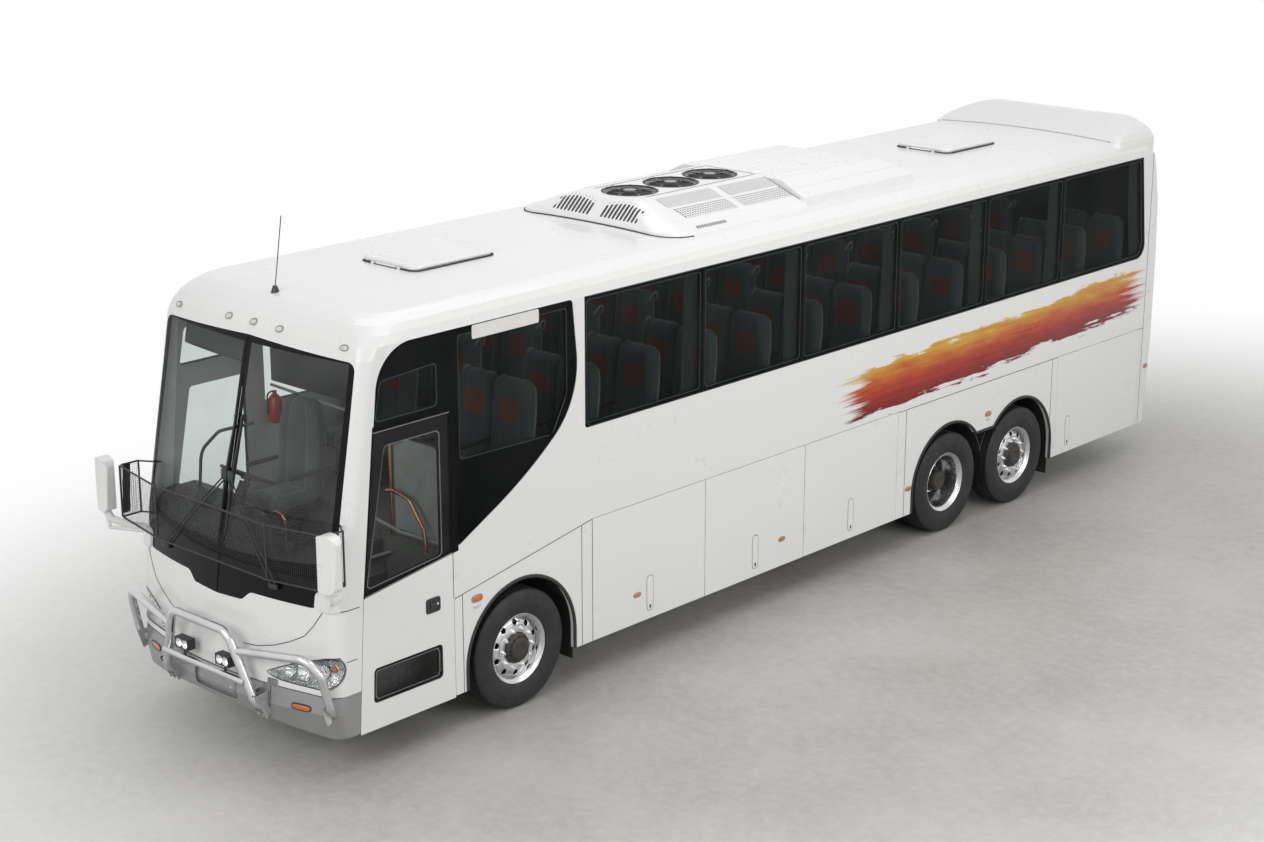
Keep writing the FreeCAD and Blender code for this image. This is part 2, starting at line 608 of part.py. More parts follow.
rear_boss = rod(tow_boss_r, (tow_x, rear_tow_y, rear_tow_z), (tow_x, 5900.0, rear_tow_z))
rear_drop = block(tow_x - post_half, tow_x + post_half, 5870.0, 5960.0, rear_tow_z - tow_boss_r,
                  rail_z[0] + rear_lift + 10)
tow_bores = [rod(tow_bore_r, (tow_x, front_tow_y - 10, front_tow_z),
                 (tow_x, front_tow_y + tow_length, front_tow_z)),
             rod(tow_bore_r, (tow_x, rear_tow_y - tow_length, rear_tow_z),
                 (tow_x, rear_tow_y + 10, rear_tow_z))]
jack_pads = [block(s * rail_x - jack_half, s * rail_x + jack_half, y - jack_half, y + jack_half,
                   z - jack_t, z - seal)
             for s in (-1, 1)
             for y, z in ((front_jack_y, rail_z[0]), (rear_jack_y, rail_z[0] + rear_lift))]
front_left = join((front_rails[1], front_boss)).cut(tow_bores[0])
rear_left = join((rear_rails[1], rear_boss, rear_drop)).cut(tow_bores[1])
nodes["underframe"] = group([front_rails[0], front_left, rear_rails[0], rear_left] + cross_members + posts
                            + jack_pads)

# ---- wheel arches ----
liner_r = arch_r + liner_gap
flap_z = (235.0, 165.0)


def liner_shell(y, radius):
    outer = rod(radius + liner, (liner_in_x, y, arch_z), (inside, y, arch_z))
    inner = rod(radius, (liner_in_x + liner, y, arch_z), (inside, y, arch_z))
    low = block(0, far, y - radius - liner, y + radius + liner, -far, arch_z)
    return outer, inner, low


def arch_liner(stations, flap_low):
    outers, inners, lows = zip(*(liner_shell(y, liner_r) for y in stations))
    shape = join(outers).cut(join(inners)).cut(join(lows))
    shape = shape.cut([block(0, liner_in_x + liner + 1, y - 130, y + 130, 0, arch_z + 130)
                       for y in stations])
    last = stations[-1] + liner_r
    flap = block(860.0, inside, last, last + liner, flap_low, arch_z + 10)
    return join((shape, flap))


front_liner = arch_liner((front_axle_y,), flap_z[0])
rear_liner = arch_liner((drive_axle_y, tag_axle_y), flap_z[1])
nodes["wheel_arches"] = both_sides(group((front_liner, rear_liner))).cut(
    [block(-rail_x - rail_half - 1, rail_x + rail_half + 1, -far, far, 0, far)])


# ---- wheels ----
rim_half = 115.0
rim_in_r = 262.0
seat_r = 288.0
hub_bore_r = 60.0
hub_r = 140.0


def tyre(x, y):
    half = tyre_width / 2
    corners = [(-rim_half + seal, seat_r + seal), (rim_half - seal, seat_r + seal),
               (rim_half - seal, rim_r + 2), (half - 8, 345.0), (half, 400.0), (half - 4, 460.0),
               (half - 12, 500.0), (half - 28, 517.0), (60.0, tyre_r), (-60.0, tyre_r),
               (-half + 28, 517.0), (-half + 12, 500.0), (-half + 4, 460.0), (-half, 400.0),
               (-half + 8, 345.0), (-rim_half + seal, rim_r + 2)]
    return turned(corners, x, y, tyre_r)


def rim_barrel(x, y):
    edge = rim_half + 8
    corners = [(-edge, rim_r), (-rim_half, rim_r), (-rim_half, seat_r), (rim_half, seat_r),
               (rim_half, rim_r), (edge, rim_r), (edge, rim_r - 12), (rim_half - 15, rim_in_r),
               (-rim_half + 15, rim_in_r), (-edge, rim_r - 12)]
    return turned(corners, x, y, tyre_r)


def rim_disc(x, y, thick):
    return ring_rod(rim_in_r + 4, hub_bore_r + running_gap, (x, y, tyre_r), (x + thick, y, tyre_r))


hand_holes = 10
hand_hole_r = 22.0
hand_hole_pcd_r = 212.0


def hand_hole_cuts(x0, x1, y):
    places = [(y + hand_hole_pcd_r * cos(radians(360.0 / hand_holes * i)),
               tyre_r + hand_hole_pcd_r * sin(radians(360.0 / hand_holes * i)))
              for i in range(hand_holes)]
    return [rod(hand_hole_r, (x0, a, b), (x1, a, b)) for a, b in places]


def single_rim(y):
    face_x = wheel_x + 62.0
    disc = rim_disc(face_x, y, 22.0).cut(hand_hole_cuts(face_x - 5, face_x + 30, y))
    hub = ring_rod(hub_r, hub_bore_r + running_gap, (face_x - 60, y, tyre_r), (face_x + 60, y, tyre_r))
    cap = rod(hub_r - 25, (face_x + 55, y, tyre_r), (face_x + 90, y, tyre_r))
    return join((rim_barrel(wheel_x, y), disc, hub, cap))


def twin_rim(y):
    middle = wheel_x - twin_pitch / 2
    outer = rim_barrel(wheel_x, y)
    inner = rim_barrel(wheel_x - twin_pitch, y)
    link = ring_rod(rim_in_r + 4, rim_in_r - 14, (wheel_x - twin_pitch + rim_half - 20, y, tyre_r),
                    (wheel_x - rim_half + 20, y, tyre_r))
    disc = rim_disc(middle - 20, y, 40.0).cut(hand_hole_cuts(middle - 30, middle + 30, y))
    hub = ring_rod(hub_r, hub_bore_r + running_gap, (middle - 80, y, tyre_r), (middle + 150, y, tyre_r))
    cap = rod(hub_r - 20, (middle + 145, y, tyre_r), (middle + 230, y, tyre_r))
    return join((outer, inner, link, disc, hub, cap))


for name, y in (("front", front_axle_y), ("tag", tag_axle_y)):
    nodes[name + "_tyre_left"] = tyre(wheel_x, y)
    nodes[name + "_rim_left"] = single_rim(y)
nodes["drive_tyres_left"] = group((tyre(wheel_x, drive_axle_y), tyre(wheel_x - twin_pitch, drive_axle_y)))
nodes["drive_rim_left"] = twin_rim(drive_axle_y)
for name in ("front_tyre", "front_rim", "tag_tyre", "tag_rim", "drive_tyres", "drive_rim"):
    nodes[name + "_right"] = other_side(nodes[name + "_left"])

# ---- front axle, knuckles and track rod ----
pin_r = 25.0
eye_z = (470.0, 574.0)
fork_t = 40.0
beam_z = (400.0, 480.0)
arm_y = 250.0
arm_half = 25.0
rod_z = 405.0
beam = block(-kingpin_x + 90, kingpin_x - 90, front_axle_y - 45, front_axle_y + 45, *beam_z)
beam_ends = [block(min(s * 780, s * (kingpin_x - 20)), max(s * 780, s * (kingpin_x - 20)),
                   front_axle_y - 40, front_axle_y + 40, *eye_z) for s in (-1, 1)]
beam_legs = [block(min(s * 740, s * 800), max(s * 740, s * 800), front_axle_y - 40, front_axle_y + 40,
                   beam_z[0], eye_z[1]) for s in (-1, 1)]
beam_eyes = [rod(45.0, (s * kingpin_x, front_axle_y, eye_z[0]), (s * kingpin_x, front_axle_y, eye_z[1]))
             for s in (-1, 1)]
springs = [rod(spring_r, (s * rail_x, front_axle_y, beam_z[1]), (s * rail_x, front_axle_y, rail_z[0]))
           for s in (-1, 1)]
pin_holes = [rod(pin_r + running_gap, (s * kingpin_x, front_axle_y, 300), (s * kingpin_x, front_axle_y, 700))
             for s in (-1, 1)]
nodes["front_axle"] = join([beam] + beam_ends + beam_legs + beam_eyes + springs).cut(pin_holes)


def knuckle():
    pin = rod(pin_r, (kingpin_x, front_axle_y, eye_z[0] - fork_t), (kingpin_x, front_axle_y, eye_z[1] + fork_t))
    forks = [block(kingpin_x - 45, kingpin_x + 110, front_axle_y - 45, front_axle_y + 45, z0, z0 + fork_t - 5)
             for z0 in (eye_z[0] - fork_t, eye_z[1] + 5)]
    back = block(kingpin_x + 60, kingpin_x + 110, front_axle_y - 60, front_axle_y + 60,
                 eye_z[0] - fork_t, eye_z[1] + fork_t)
    drum = rod(195.0, (kingpin_x + 70, front_axle_y, tyre_r), (kingpin_x + 160, front_axle_y, tyre_r))
    spindle = rod(hub_bore_r, (kingpin_x + 100, front_axle_y, tyre_r), (wheel_x + 110, front_axle_y, tyre_r))
    arm = block(kingpin_x - arm_half, kingpin_x + arm_half, front_axle_y + 40, front_axle_y + arm_y + arm_half,
                eye_z[0] - fork_t, eye_z[0] - 5)
    ball = rod(14.0, (kingpin_x, front_axle_y + arm_y, rod_z - 20),
               (kingpin_x, front_axle_y + arm_y, eye_z[0] - 10))
    return join((pin, *forks, back, drum, spindle, arm, ball))


nodes["knuckle_left"] = knuckle()
nodes["knuckle_right"] = other_side(nodes["knuckle_left"])
ends = [(s * kingpin_x, front_axle_y + arm_y, rod_z) for s in (-1, 1)]
track_eyes = [ring_rod(32.0, 14.0 + (running_gap if s > 0 else 6.0), (x, y, z - 20), (x, y, z + 20))
              for s, (x, y, z) in zip((-1, 1), ends)]
bar = rod(16.0, (-kingpin_x + 28, front_axle_y + arm_y, rod_z), (kingpin_x - 28, front_axle_y + arm_y, rod_z))
nodes["track_rod"] = join([bar] + track_eyes)

# ---- rear axles and engine ----
axle_r = 72.0
drive_spring_z = rail_z[0] + rear_lift
drive_tube = rod(axle_r, (-620, drive_axle_y, tyre_r), (620, drive_axle_y, tyre_r))
drive_ends = rod(hub_bore_r, (-wheel_x + 30, drive_axle_y, tyre_r), (wheel_x - 30, drive_axle_y, tyre_r))
diff = turned([(-190.0, 0.0), (-190.0, 120.0), (-90.0, 225.0), (90.0, 225.0), (190.0, 120.0), (190.0, 0.0)],
              0, drive_axle_y, tyre_r)
drive_springs = [rod(spring_r, (s * rail_x, drive_axle_y, tyre_r), (s * rail_x, drive_axle_y, drive_spring_z))
                 for s in (-1, 1)]
tag_tube = rod(axle_r, (-900, tag_axle_y, tyre_r), (900, tag_axle_y, tyre_r))
tag_ends = rod(hub_bore_r, (-wheel_x - 110, tag_axle_y, tyre_r), (wheel_x + 110, tag_axle_y, tyre_r))
tag_springs = [rod(spring_r, (s * rail_x, tag_axle_y, tyre_r), (s * rail_x, tag_axle_y, drive_spring_z))
               for s in (-1, 1)]
nodes["rear_axles"] = group((join([drive_tube, drive_ends, diff] + drive_springs),
                             join([tag_tube, tag_ends] + tag_springs)))
engine_half = rail_x - rail_half - seal
nodes["engine"] = block(-engine_half, engine_half, 4420.0, 5780.0, 560.0, 1380.0)

# ---- bull bar ----
bar_r = 38.0
hoop = [(-573.0, -5900.0, 500.0), (-573.0, -6110.0, 560.0), (-352.0, -6188.0, 1137.0),
        (352.0, -6188.0, 1137.0), (573.0, -6110.0, 560.0), (573.0, -5900.0, 500.0)]
cross = [(-520.0, -6158.0, 740.0), (520.0, -6158.0, 740.0)]
wing = [(448.0, -6152.0, 990.0), (1150.0, -6020.0, 1060.0), (1225.0, -5960.0, 960.0),
        (1235.0, -5890.0, 600.0), (1190.0, -5800.0, 560.0)]
drive_lamp_x = 262.0
lamp_stalks = [rod(10.0, (s * drive_lamp_x, -6150.0, 760.0), (s * drive_lamp_x, -6150.0, 818.0))
               for s in (-1, 1)]
bars = join([tube(hoop, bar_r), tube(cross, bar_r), tube(wing, bar_r)] + lamp_stalks
            + [other_side(tube(wing, bar_r))])
nodes["bull_bar"] = bars.cut(body(-seal))

# ---- lamps ----
headlamp_lens = both_sides(skin(0.0, 12.0, plate_y(headlamp, -far, headlamp_end_y - seal, -seal)))
drive_lamp = both_sides(block(drive_lamp_x - 82, drive_lamp_x + 82, -6185.0, -6105.0,
                              818.0 + seal, 908.0))
tail_lamps = both_sides(skin(0.0, 22.0, plate_y(tail_lamp, rear_cut_y, far, -seal)))
nodes["lamps"] = group((headlamp_lens, drive_lamp, tail_lamps))

# ---- wipers ----
wiper_rows = ((-752.0, -20.0), (649.0, 60.0))
wipers = []
for pivot_x, blade_x in wiper_rows:
    pivot_y = front_at(1520.0) + 190.0 * (pivot_x / bow_span) ** 2
    base = (pivot_x, pivot_y - 10, 1520.0)
    low = (blade_x, front_at(1800.0) - 40, 1800.0)
    top = (blade_x + 20.0, front_at(2750.0) - 40, 2750.0)
    elbow = (blade_x + 10.0, front_at(2270.0) - 48, 2270.0)
    wipers.append(tube([(base[0], base[1] + 40, base[2]), (base[0], base[1] - 25, base[2]), elbow, top], 8.0))
    wipers.append(tube([low, elbow], 8.0))
nodes["wipers"] = group((join(wipers[:2]), join(wipers[2:]))).cut(body(-seal))

# ---- stone guard and mirrors ----
guard_r = 9.0
post_r = 7.5
wing_x = 1300.0
guard_z = (2085.0, 1640.0)


def guard_rail(z):
    half = [(wing_x, -5762.0, z), (wing_x, -5950.0, z), (700.0, -6035.0, z - 25.0)]
    return half + [(-x, y, height) for x, y, height in reversed(half)]


rails = [guard_rail(z) for z in guard_z]
guard = [tube(points, guard_r) for points in rails]
guard += [rod(post_r, a, b) for a, b in zip(*rails)]
stays = [rod(post_r, (s * (wing_x - 170.0), -5660.0, z), (s * wing_x, -5770.0, z))
         for s in (-1, 1) for z in guard_z]
nodes["stone_guard"] = join(guard + stays).cut(body(-seal))
mirror_x = (1330.0, 1530.0)
mirror_y = (-6090.0, -5970.0)
mirror_z = (1690.0, 2150.0)
mirror_plan = ((mirror_x[0], mirror_y[0], 50), (mirror_x[1], mirror_y[0] + 40.0, 60),
               (mirror_x[1], mirror_y[1] + 10.0, 25), (mirror_x[0], mirror_y[1], 25))
mirror_front = ((mirror_x[0] + 15, mirror_z[0], 50), (mirror_x[1] - 15, mirror_z[0], 60),
                (mirror_x[1], mirror_z[1], 80), (mirror_x[0], mirror_z[1], 80))
mirror_head = plate_z(mirror_plan, *mirror_z).common(plate_y(mirror_front, -far, 0))
stem = tube([(1430.0, -6030.0, mirror_z[0] + 20.0), (1400.0, -6010.0, 1540.0), (1150.0, -5690.0, 1470.0)], 16.0)
nodes["mirrors"] = both_sides(join((mirror_head, stem)).cut(body(-seal)))

# ---- cab ----
dash_profile = ((-5800.0, platform_z, 0), (-5330.0, platform_z, 0), (-5330.0, 1720.0, 40),
                (-5480.0, 1860.0, 40), (-5620.0, 1840.0, 40), (-5800.0, 1660.0, 0))
dash = plate_x(dash_profile, -1150.0, -120.0)
shelf = plate_x(((-5850.0, 1300.0, 0), (-5560.0, 1300.0, 0), (-5600.0, 1480.0, 30), (-5850.0, 1500.0, 0)),
                -120.0, 1150.0)
wheel_centre = V(-640.0, -5150.0, 1960.0)
column_tilt = 28.0
column_axis = V(0, sin(radians(column_tilt)), cos(radians(column_tilt)))
column_end = wheel_centre - column_axis * 330.0
column_top = wheel_centre - column_axis * 60.0
column = Part.makeCylinder(45.0, 270.0, column_end, column_axis)
nodes["dashboard"] = join((dash, shelf, column)).common(body(wall + seal)).cut(
    Part.makeCylinder(14.0 + running_gap, 100.0, column_top - column_axis * 50.0, column_axis))
steer_rim = Part.makeTorus(225.0, 14.0, wheel_centre, column_axis)
steer_hub = Part.makeCylinder(45.0, 30.0, wheel_centre - column_axis * 45.0, column_axis)
steer_shaft = Part.makeCylinder(14.0, 60.0, wheel_centre - column_axis * 100.0, column_axis)
spokes = [rod(10.0, tuple(wheel_centre - column_axis * 30.0),
              tuple(wheel_centre + V(225.0 * sin(radians(a)), 225.0 * cos(radians(a))
                    * cos(radians(column_tilt)), -225.0 * cos(radians(a)) * sin(radians(column_tilt)))))
          for a in (60.0, 180.0, 300.0)]
nodes["steering_wheel"] = join([steer_rim, steer_hub, steer_shaft] + spokes)

# ---- seats ----
seat_pitch = 760.0
seat_first_y = -4100.0
seat_rows = 13
seat_x = (300.0, 1150.0)
cushion_z = 430.0
seat_high = 1180.0


def seat(x0, x1, y, base_z):
    side = ((y + 40, base_z + cushion_z - 130, 40), (y + 40, base_z + cushion_z, 40),
            (y + 400, base_z + cushion_z - 15, 40), (y + 470, base_z + seat_high - 30, 40),
            (y + 560, base_z + seat_high, 40), (y + 620, base_z + seat_high - 60, 50),
            (y + 520, base_z + cushion_z - 130, 40))
    pad = plate_x(side, x0, x1)
    pedestal = block(x0 + 120, x1 - 120, y + 140, y + 420, base_z + seal, base_z + cushion_z - 120)
    return join((pad, pedestal))


seats = []
for row in range(seat_rows):
    row_y = seat_first_y + row * seat_pitch
    seats += both_sides(seat(*seat_x, row_y, floor_z)).Solids
driver_seat = seat(-900.0, -380.0, -5060.0, platform_z + 80).fuse(
    block(-760, -520, -4900, -4700, platform_z + seal, platform_z + 100))
nodes["seats"] = group(seats)
nodes["driver_seat"] = driver_seat

# ---- curtains ----
curtain_wide = 190.0
curtain_x = (1160.0, half_width - wall - seal)
curtains = [block(*curtain_x, y - pillar / 2 - curtain_wide, y - pillar / 2 + 25.0, sill_z + 30,
                  head_z - 10) for y in pane_edges_y[1:]]
nodes["curtains"] = both_sides(group(curtains))

# ---- roof unit ----
unit_mid_y = 260.0
unit_rear_y = 2060.0
unit_top_z = 3870.0
unit_back_z = 3850.0
unit_taper = 0.95
# Front hood: rounded rectangles as height, front edge, half width, corner radius.
unit_rows = ((3500.0, -1690.0, 1000.0, 280.0), (3640.0, -1690.0, 1000.0, 280.0),
             (3670.0, -1678.0, 975.0, 270.0), (3700.0, -1652.0, 890.0, 250.0),
             (3800.0, -1545.0, 605.0, 180.0), (3845.0, -1492.0, 475.0, 150.0),
             (3863.0, -1458.0, 420.0, 130.0), (unit_top_z, -1415.0, 370.0, 110.0))
unit_profile = ((unit_mid_y, 3500.0, 0), (unit_mid_y, unit_back_z, 0),
                (unit_rear_y - 300, unit_back_z, 200), (unit_rear_y, 3680.0, 0), (unit_rear_y, 3500.0, 0))
unit_section = ((-1000.0, 3500.0, 0), (1000.0, 3500.0, 0), (1000.0, 3660.0, 30),
                (600.0, unit_back_z + 5, 80), (-600.0, unit_back_z + 5, 80), (-1000.0, 3660.0, 30))
unit_plan = ((-890.0, unit_mid_y, 0), (890.0, unit_mid_y, 0), (890.0, unit_rear_y, 120),
             (-890.0, unit_rear_y, 120))


def hood_wire(z, front, half, corner):
    corners = ((-half, front, corner), (half, front, corner), (half * unit_taper, unit_mid_y, 0),
               (-half * unit_taper, unit_mid_y, 0))
    return outline(corners, lambda x, y: (x, y, z)).OuterWire


fan_stations_y = (-1160.0, -600.0, -50.0)
fan_r = 225.0
well_r = 245.0
well_floor_z = 3785.0
motor_top_z = well_floor_z + 25
hood = Part.makeLoft([hood_wire(*row) for row in unit_rows], True, True)
unit_back = plate_x(unit_profile, -far, far).common(plate_y(unit_section, -far, far)).common(
    plate_z(unit_plan, 3000.0, 4200.0))
wells = [rod(well_r, (0, y, well_floor_z), (0, y, unit_top_z + 50)) for y in fan_stations_y]
motors = [rod(60.0, (0, y, well_floor_z - 35), (0, y, motor_top_z)) for y in fan_stations_y]
nodes["roof_unit"] = join([join((hood, unit_back)).cut(body(-seal)).cut(wells)] + motors)


def fan(y):
    base = motor_top_z + running_gap
    hub = rod(75.0, (0, y, base), (0, y, base + 40))
    band = ring_rod(fan_r, fan_r - 6, (0, y, base + 12), (0, y, base + 34))
    blades = []
    for i in range(7):
        blade = Part.makeBox(fan_r - 60, 84.0, 5.0, V(58, -42, 0))
        blade.rotate(V(0, 0, 0), V(1, 0, 0), 18)
        blade.translate(V(0, 0, 20))
        blade.rotate(V(0, 0, 0), V(0, 0, 1), 360.0 / 7 * i)
        blade.translate(V(0, y, base))
        blades.append(blade)
    return join([hub, band] + blades).common(rod(fan_r, (0, y, base - 10), (0, y, base + 60)))


for i, y in enumerate(fan_stations_y):
    nodes["condenser_fan_%d" % (i + 1)] = fan(y)

# ---- rear spoiler and antenna ----
# Rounded rectangles as height, front and rear edges, half width, front and rear corner radii.
spoiler_rows = ((3450.0, 5270.0, 6060.0, 1215.0, 50.0, 110.0), (3560.0, 5270.0, 6075.0, 1215.0, 50.0, 110.0),
                (3620.0, 5275.0, 6085.0, 1200.0, 60.0, 120.0), (3680.0, 5400.0, 6080.0, 1165.0, 90.0, 140.0),
                (3740.0, 5570.0, 6060.0, 1100.0, 140.0, 160.0), (3785.0, 5730.0, 6035.0, 1000.0, 140.0, 140.0),
                (3808.0, 5840.0, 6010.0, 880.0, 60.0, 60.0))


def spoiler_wire(z, front, rear, half, front_r, rear_r):
    corners = ((-half, front, front_r), (half, front, front_r), (half, rear, rear_r), (-half, rear, rear_r))
    return outline(corners, lambda x, y: (x, y, z)).OuterWire


spoiler = Part.makeLoft([spoiler_wire(*row) for row in spoiler_rows], True, True)
nodes["rear_spoiler"] = spoiler.cut(body(-seal))
antenna_y = -5230.0
antenna_base = Part.makeCone(38.0, 18.0, 60.0, V(-60.0, antenna_y, roof_z - 40.0))
nodes["antenna"] = join((antenna_base, rod(4.0, (-60.0, antenna_y, roof_z), (-60.0, antenna_y + 90, 4230.0)))
                        ).cut(body(-seal))

# ---- write the nodes ----
os.makedirs("parts", exist_ok=True)
for name, shape in nodes.items():
    solids = len(shape.Solids)
    print("%-24s solids %3d  volume %9.4f m3  valid %s" % (name, solids, shape.Volume / 1e9, shape.isValid()))
    shape.exportStep("parts/%s.step" % name)
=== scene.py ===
import math

import bmesh
import bpy
import numpy as np
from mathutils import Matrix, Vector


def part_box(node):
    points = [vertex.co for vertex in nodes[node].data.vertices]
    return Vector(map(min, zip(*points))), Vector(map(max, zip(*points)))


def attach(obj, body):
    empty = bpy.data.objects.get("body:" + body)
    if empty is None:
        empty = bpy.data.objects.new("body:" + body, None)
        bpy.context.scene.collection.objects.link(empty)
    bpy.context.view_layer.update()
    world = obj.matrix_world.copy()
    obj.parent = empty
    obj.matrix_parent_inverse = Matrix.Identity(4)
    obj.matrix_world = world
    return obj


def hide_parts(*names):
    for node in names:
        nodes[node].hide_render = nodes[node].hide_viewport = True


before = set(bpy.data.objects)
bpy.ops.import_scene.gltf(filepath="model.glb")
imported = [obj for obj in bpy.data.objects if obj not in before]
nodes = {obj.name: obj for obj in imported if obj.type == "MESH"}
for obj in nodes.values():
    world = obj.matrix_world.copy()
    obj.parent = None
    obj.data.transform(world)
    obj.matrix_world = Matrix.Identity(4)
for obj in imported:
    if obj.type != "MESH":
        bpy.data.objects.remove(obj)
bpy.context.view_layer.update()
scene = bpy.context.scene
print("stage: frame loaded,", len(nodes), "nodes")


# A shape is (points, faces): an N x 3 array and a list of index arrays, one row per face.

# Quads between neighbouring points of a rows x cols grid, wrapped round where it closes.
def gridFaces(rows, cols, closeRows=False, closeCols=False):
    r = np.arange(rows if closeRows else rows - 1)
    c = np.arange(cols if closeCols else cols - 1)
    r, c = np.meshgrid(r, c, indexing="ij")
    nextRow = (r + 1) % rows * cols
    nextCol = (c + 1) % cols
    quads = np.stack([r * cols + c, r * cols + nextCol, nextRow + nextCol, nextRow + c], -1)
    return quads.reshape(-1, 4)


# Numbers or arrays as float arrays of one common shape.
def alike(*values):
    return np.broadcast_arrays(*[np.asarray(value, float) for value in values])


# A surface through a rows x cols x 3 array of points; caps shut its first and last rows.
def gridShape(points, closeRows=False, closeCols=False, caps=False):
    rows, cols = points.shape[:2]
    faces = [gridFaces(rows, cols, closeRows, closeCols)]
    if caps:
        faces.append(np.arange(cols)[::-1][None, :])
        faces.append((np.arange(cols) + (rows - 1) * cols)[None, :])
    return points.reshape(-1, 3), faces


def joinShapes(*shapes):
    points, faces, count = [], [], 0
    for somePoints, someFaces in shapes:
        points.append(somePoints)
        faces += [f + count for f in someFaces]
        count += len(somePoints)
    return np.vstack(points), faces


# The same shape at each of several offsets.
def copiesAt(shape, offsets):
    points, faces = shape
    offsets = np.asarray(offsets, float)
    step = np.arange(len(offsets)) * len(points)
    allPoints = (offsets[:, None, :] + points[None, :, :]).reshape(-1, 3)
    return allPoints, [(f[None, :, :] + step[:, None, None]).reshape(-1, f.shape[1]) for f in faces]


def moved(shape, offset):
    return shape[0] + np.asarray(offset, float), shape[1]


# A shape turned by degrees round the named axis through a point.
def turned(shape, degrees, axis, about=(0, 0, 0)):
    c, s = math.cos(math.radians(degrees)), math.sin(math.radians(degrees))
    turn = {"x": [[1, 0, 0], [0, c, -s], [0, s, c]], "y": [[c, 0, s], [0, 1, 0], [-s, 0, c]],
            "z": [[c, -s, 0], [s, c, 0], [0, 0, 1]]}[axis]
    return (shape[0] - about) @ np.array(turn).T + about, shape[1]


def ringOf(shape, count, axis, about, start=0.0):
    return joinShapes(*[turned(shape, start + 360 * i / count, axis, about) for i in range(count)])


# The same shape on the other side of the coach, with its faces turned round again.
def mirrored(shape):
    return shape[0] * (-1, 1, 1), [f[:, ::-1] for f in shape[1]]


def bothSides(shape):
    return joinShapes(shape, mirrored(shape))


# Shapes with their materials, as drawn for side 1 and mirrored for side -1.
def onSide(parts, side):
    return parts if side > 0 else [(mirrored(shape), material) for shape, material in parts]


# A box whose edges are rounded: a ball's points moved apart by the box's inner half sizes.
def roundBox(low, high, radius, steps=2):
    low, high = np.minimum(low, high), np.maximum(low, high)
    half = (high - low) / 2
    radius = min(radius, *(half * 0.98))
    inner = half - radius
    around = np.radians(np.concatenate([np.linspace(q, q + 90, steps + 1) for q in (0, 90, 180, 270)]))
    alongX = np.repeat([1, -1, -1, 1], steps + 1)
    alongY = np.repeat([1, 1, -1, -1], steps + 1)
    up = np.radians(np.concatenate([np.linspace(-90, 0, steps + 1), np.linspace(0, 90, steps + 1)]))
    alongZ = np.repeat([-1, 1], steps + 1)
    x = alongX * inner[0] + radius * np.cos(up)[:, None] * np.cos(around)
    y = alongY * inner[1] + radius * np.cos(up)[:, None] * np.sin(around)
    z = (alongZ * inner[2] + radius * np.sin(up))[:, None] + 0 * around
    return moved(gridShape(np.stack([x, y, z], -1), closeCols=True, caps=True), (low + high) / 2)


def boxAt(middle, halfSize, radius):
    return roundBox(middle - halfSize, middle + halfSize, radius)


# A profile of (distance along the axis, radius) turned about that axis.
def turnedShape(profile, origin, direction, segments=48, wave=None, closed=False):
    profile = np.asarray(profile, float)
    direction = np.asarray(direction, float) / np.linalg.norm(direction)
    side = np.cross(direction, (0, 0, 1) if abs(direction[2]) < 0.9 else (0, 1, 0))
    side /= np.linalg.norm(side)
    other = np.cross(direction, side)
    angle = np.linspace(0, 2 * math.pi, segments, endpoint=False)
    ring = np.cos(angle)[:, None] * side + np.sin(angle)[:, None] * other
    radius = profile[:, 1][:, None] + (0 if wave is None else wave(profile, angle))
    points = np.asarray(origin) + profile[:, 0, None, None] * direction + radius[..., None] * ring[None]
    return gridShape(points, closeRows=closed, closeCols=True)


# A flat outline of corners given a thickness along an offset.
def plateShape(corners, offset):
    corners = np.asarray(corners, float)
    return gridShape(np.stack([corners, corners + np.asarray(offset, float)]), closeCols=True, caps=True)


# Corners of a route made round: each corner becomes an arc that touches both its runs.
def roundRoute(corners, radius, steps=6):
    corners = np.asarray(corners, float)
    route = [corners[:1]]
    for before, corner, after in zip(corners, corners[1:], corners[2:]):
        a, b = before - corner, after - corner
        lengths = np.linalg.norm(a), np.linalg.norm(b)
        a, b = a / lengths[0], b / lengths[1]
        half = math.acos(np.clip(a @ b, -1, 1)) / 2
        if half > 1.56:                  # the route runs straight on here
            route.append(corner[None])
            continue
        reach = min(radius / math.tan(half), 0.48 * min(lengths))
        middle = (a + b) / np.linalg.norm(a + b)
        arcRadius = reach * math.tan(half)
        centre = corner + middle * reach / math.cos(half)
        share = np.linspace(-1, 1, steps + 1) * (math.pi / 2 - half)
        across = (b - a) / np.linalg.norm(b - a)
        bow = -middle * np.cos(share)[:, None] + across * np.sin(share)[:, None]
        route.append(centre + arcRadius * bow)
    route.append(corners[-1:])
    return np.vstack(route)


# A profile of (across, up) carried along a route; up leans least from the normal given.
def sweptShape(route, profile, normal=None, closed=True, caps=True, loop=False):
    route = np.asarray(route, float)
    if normal is None:
        normal = np.linalg.svd(route - route.mean(0))[2][-1]
    if loop:
        ahead = np.roll(route, -1, 0) - np.roll(route, 1, 0)
    else:
        ahead = np.gradient(route, axis=0)
    ahead /= np.linalg.norm(ahead, axis=1)[:, None]
    up = normal - (ahead @ normal)[:, None] * ahead
    up /= np.linalg.norm(up, axis=1)[:, None]
    across = np.cross(ahead, up)
    profile = np.asarray(profile, float)
    if profile.ndim == 2:
        profile = np.repeat(profile[None], len(route), 0)
    points = route[:, None] + profile[..., 0, None] * across[:, None] + profile[..., 1, None] * up[:, None]
    return gridShape(points, closeRows=loop, closeCols=closed, caps=caps and not loop)


def circle(radius, sides=12):
    angle = np.linspace(0, 2 * math.pi, sides, endpoint=False)
    return np.stack([radius * np.cos(angle), radius * np.sin(angle)], -1)


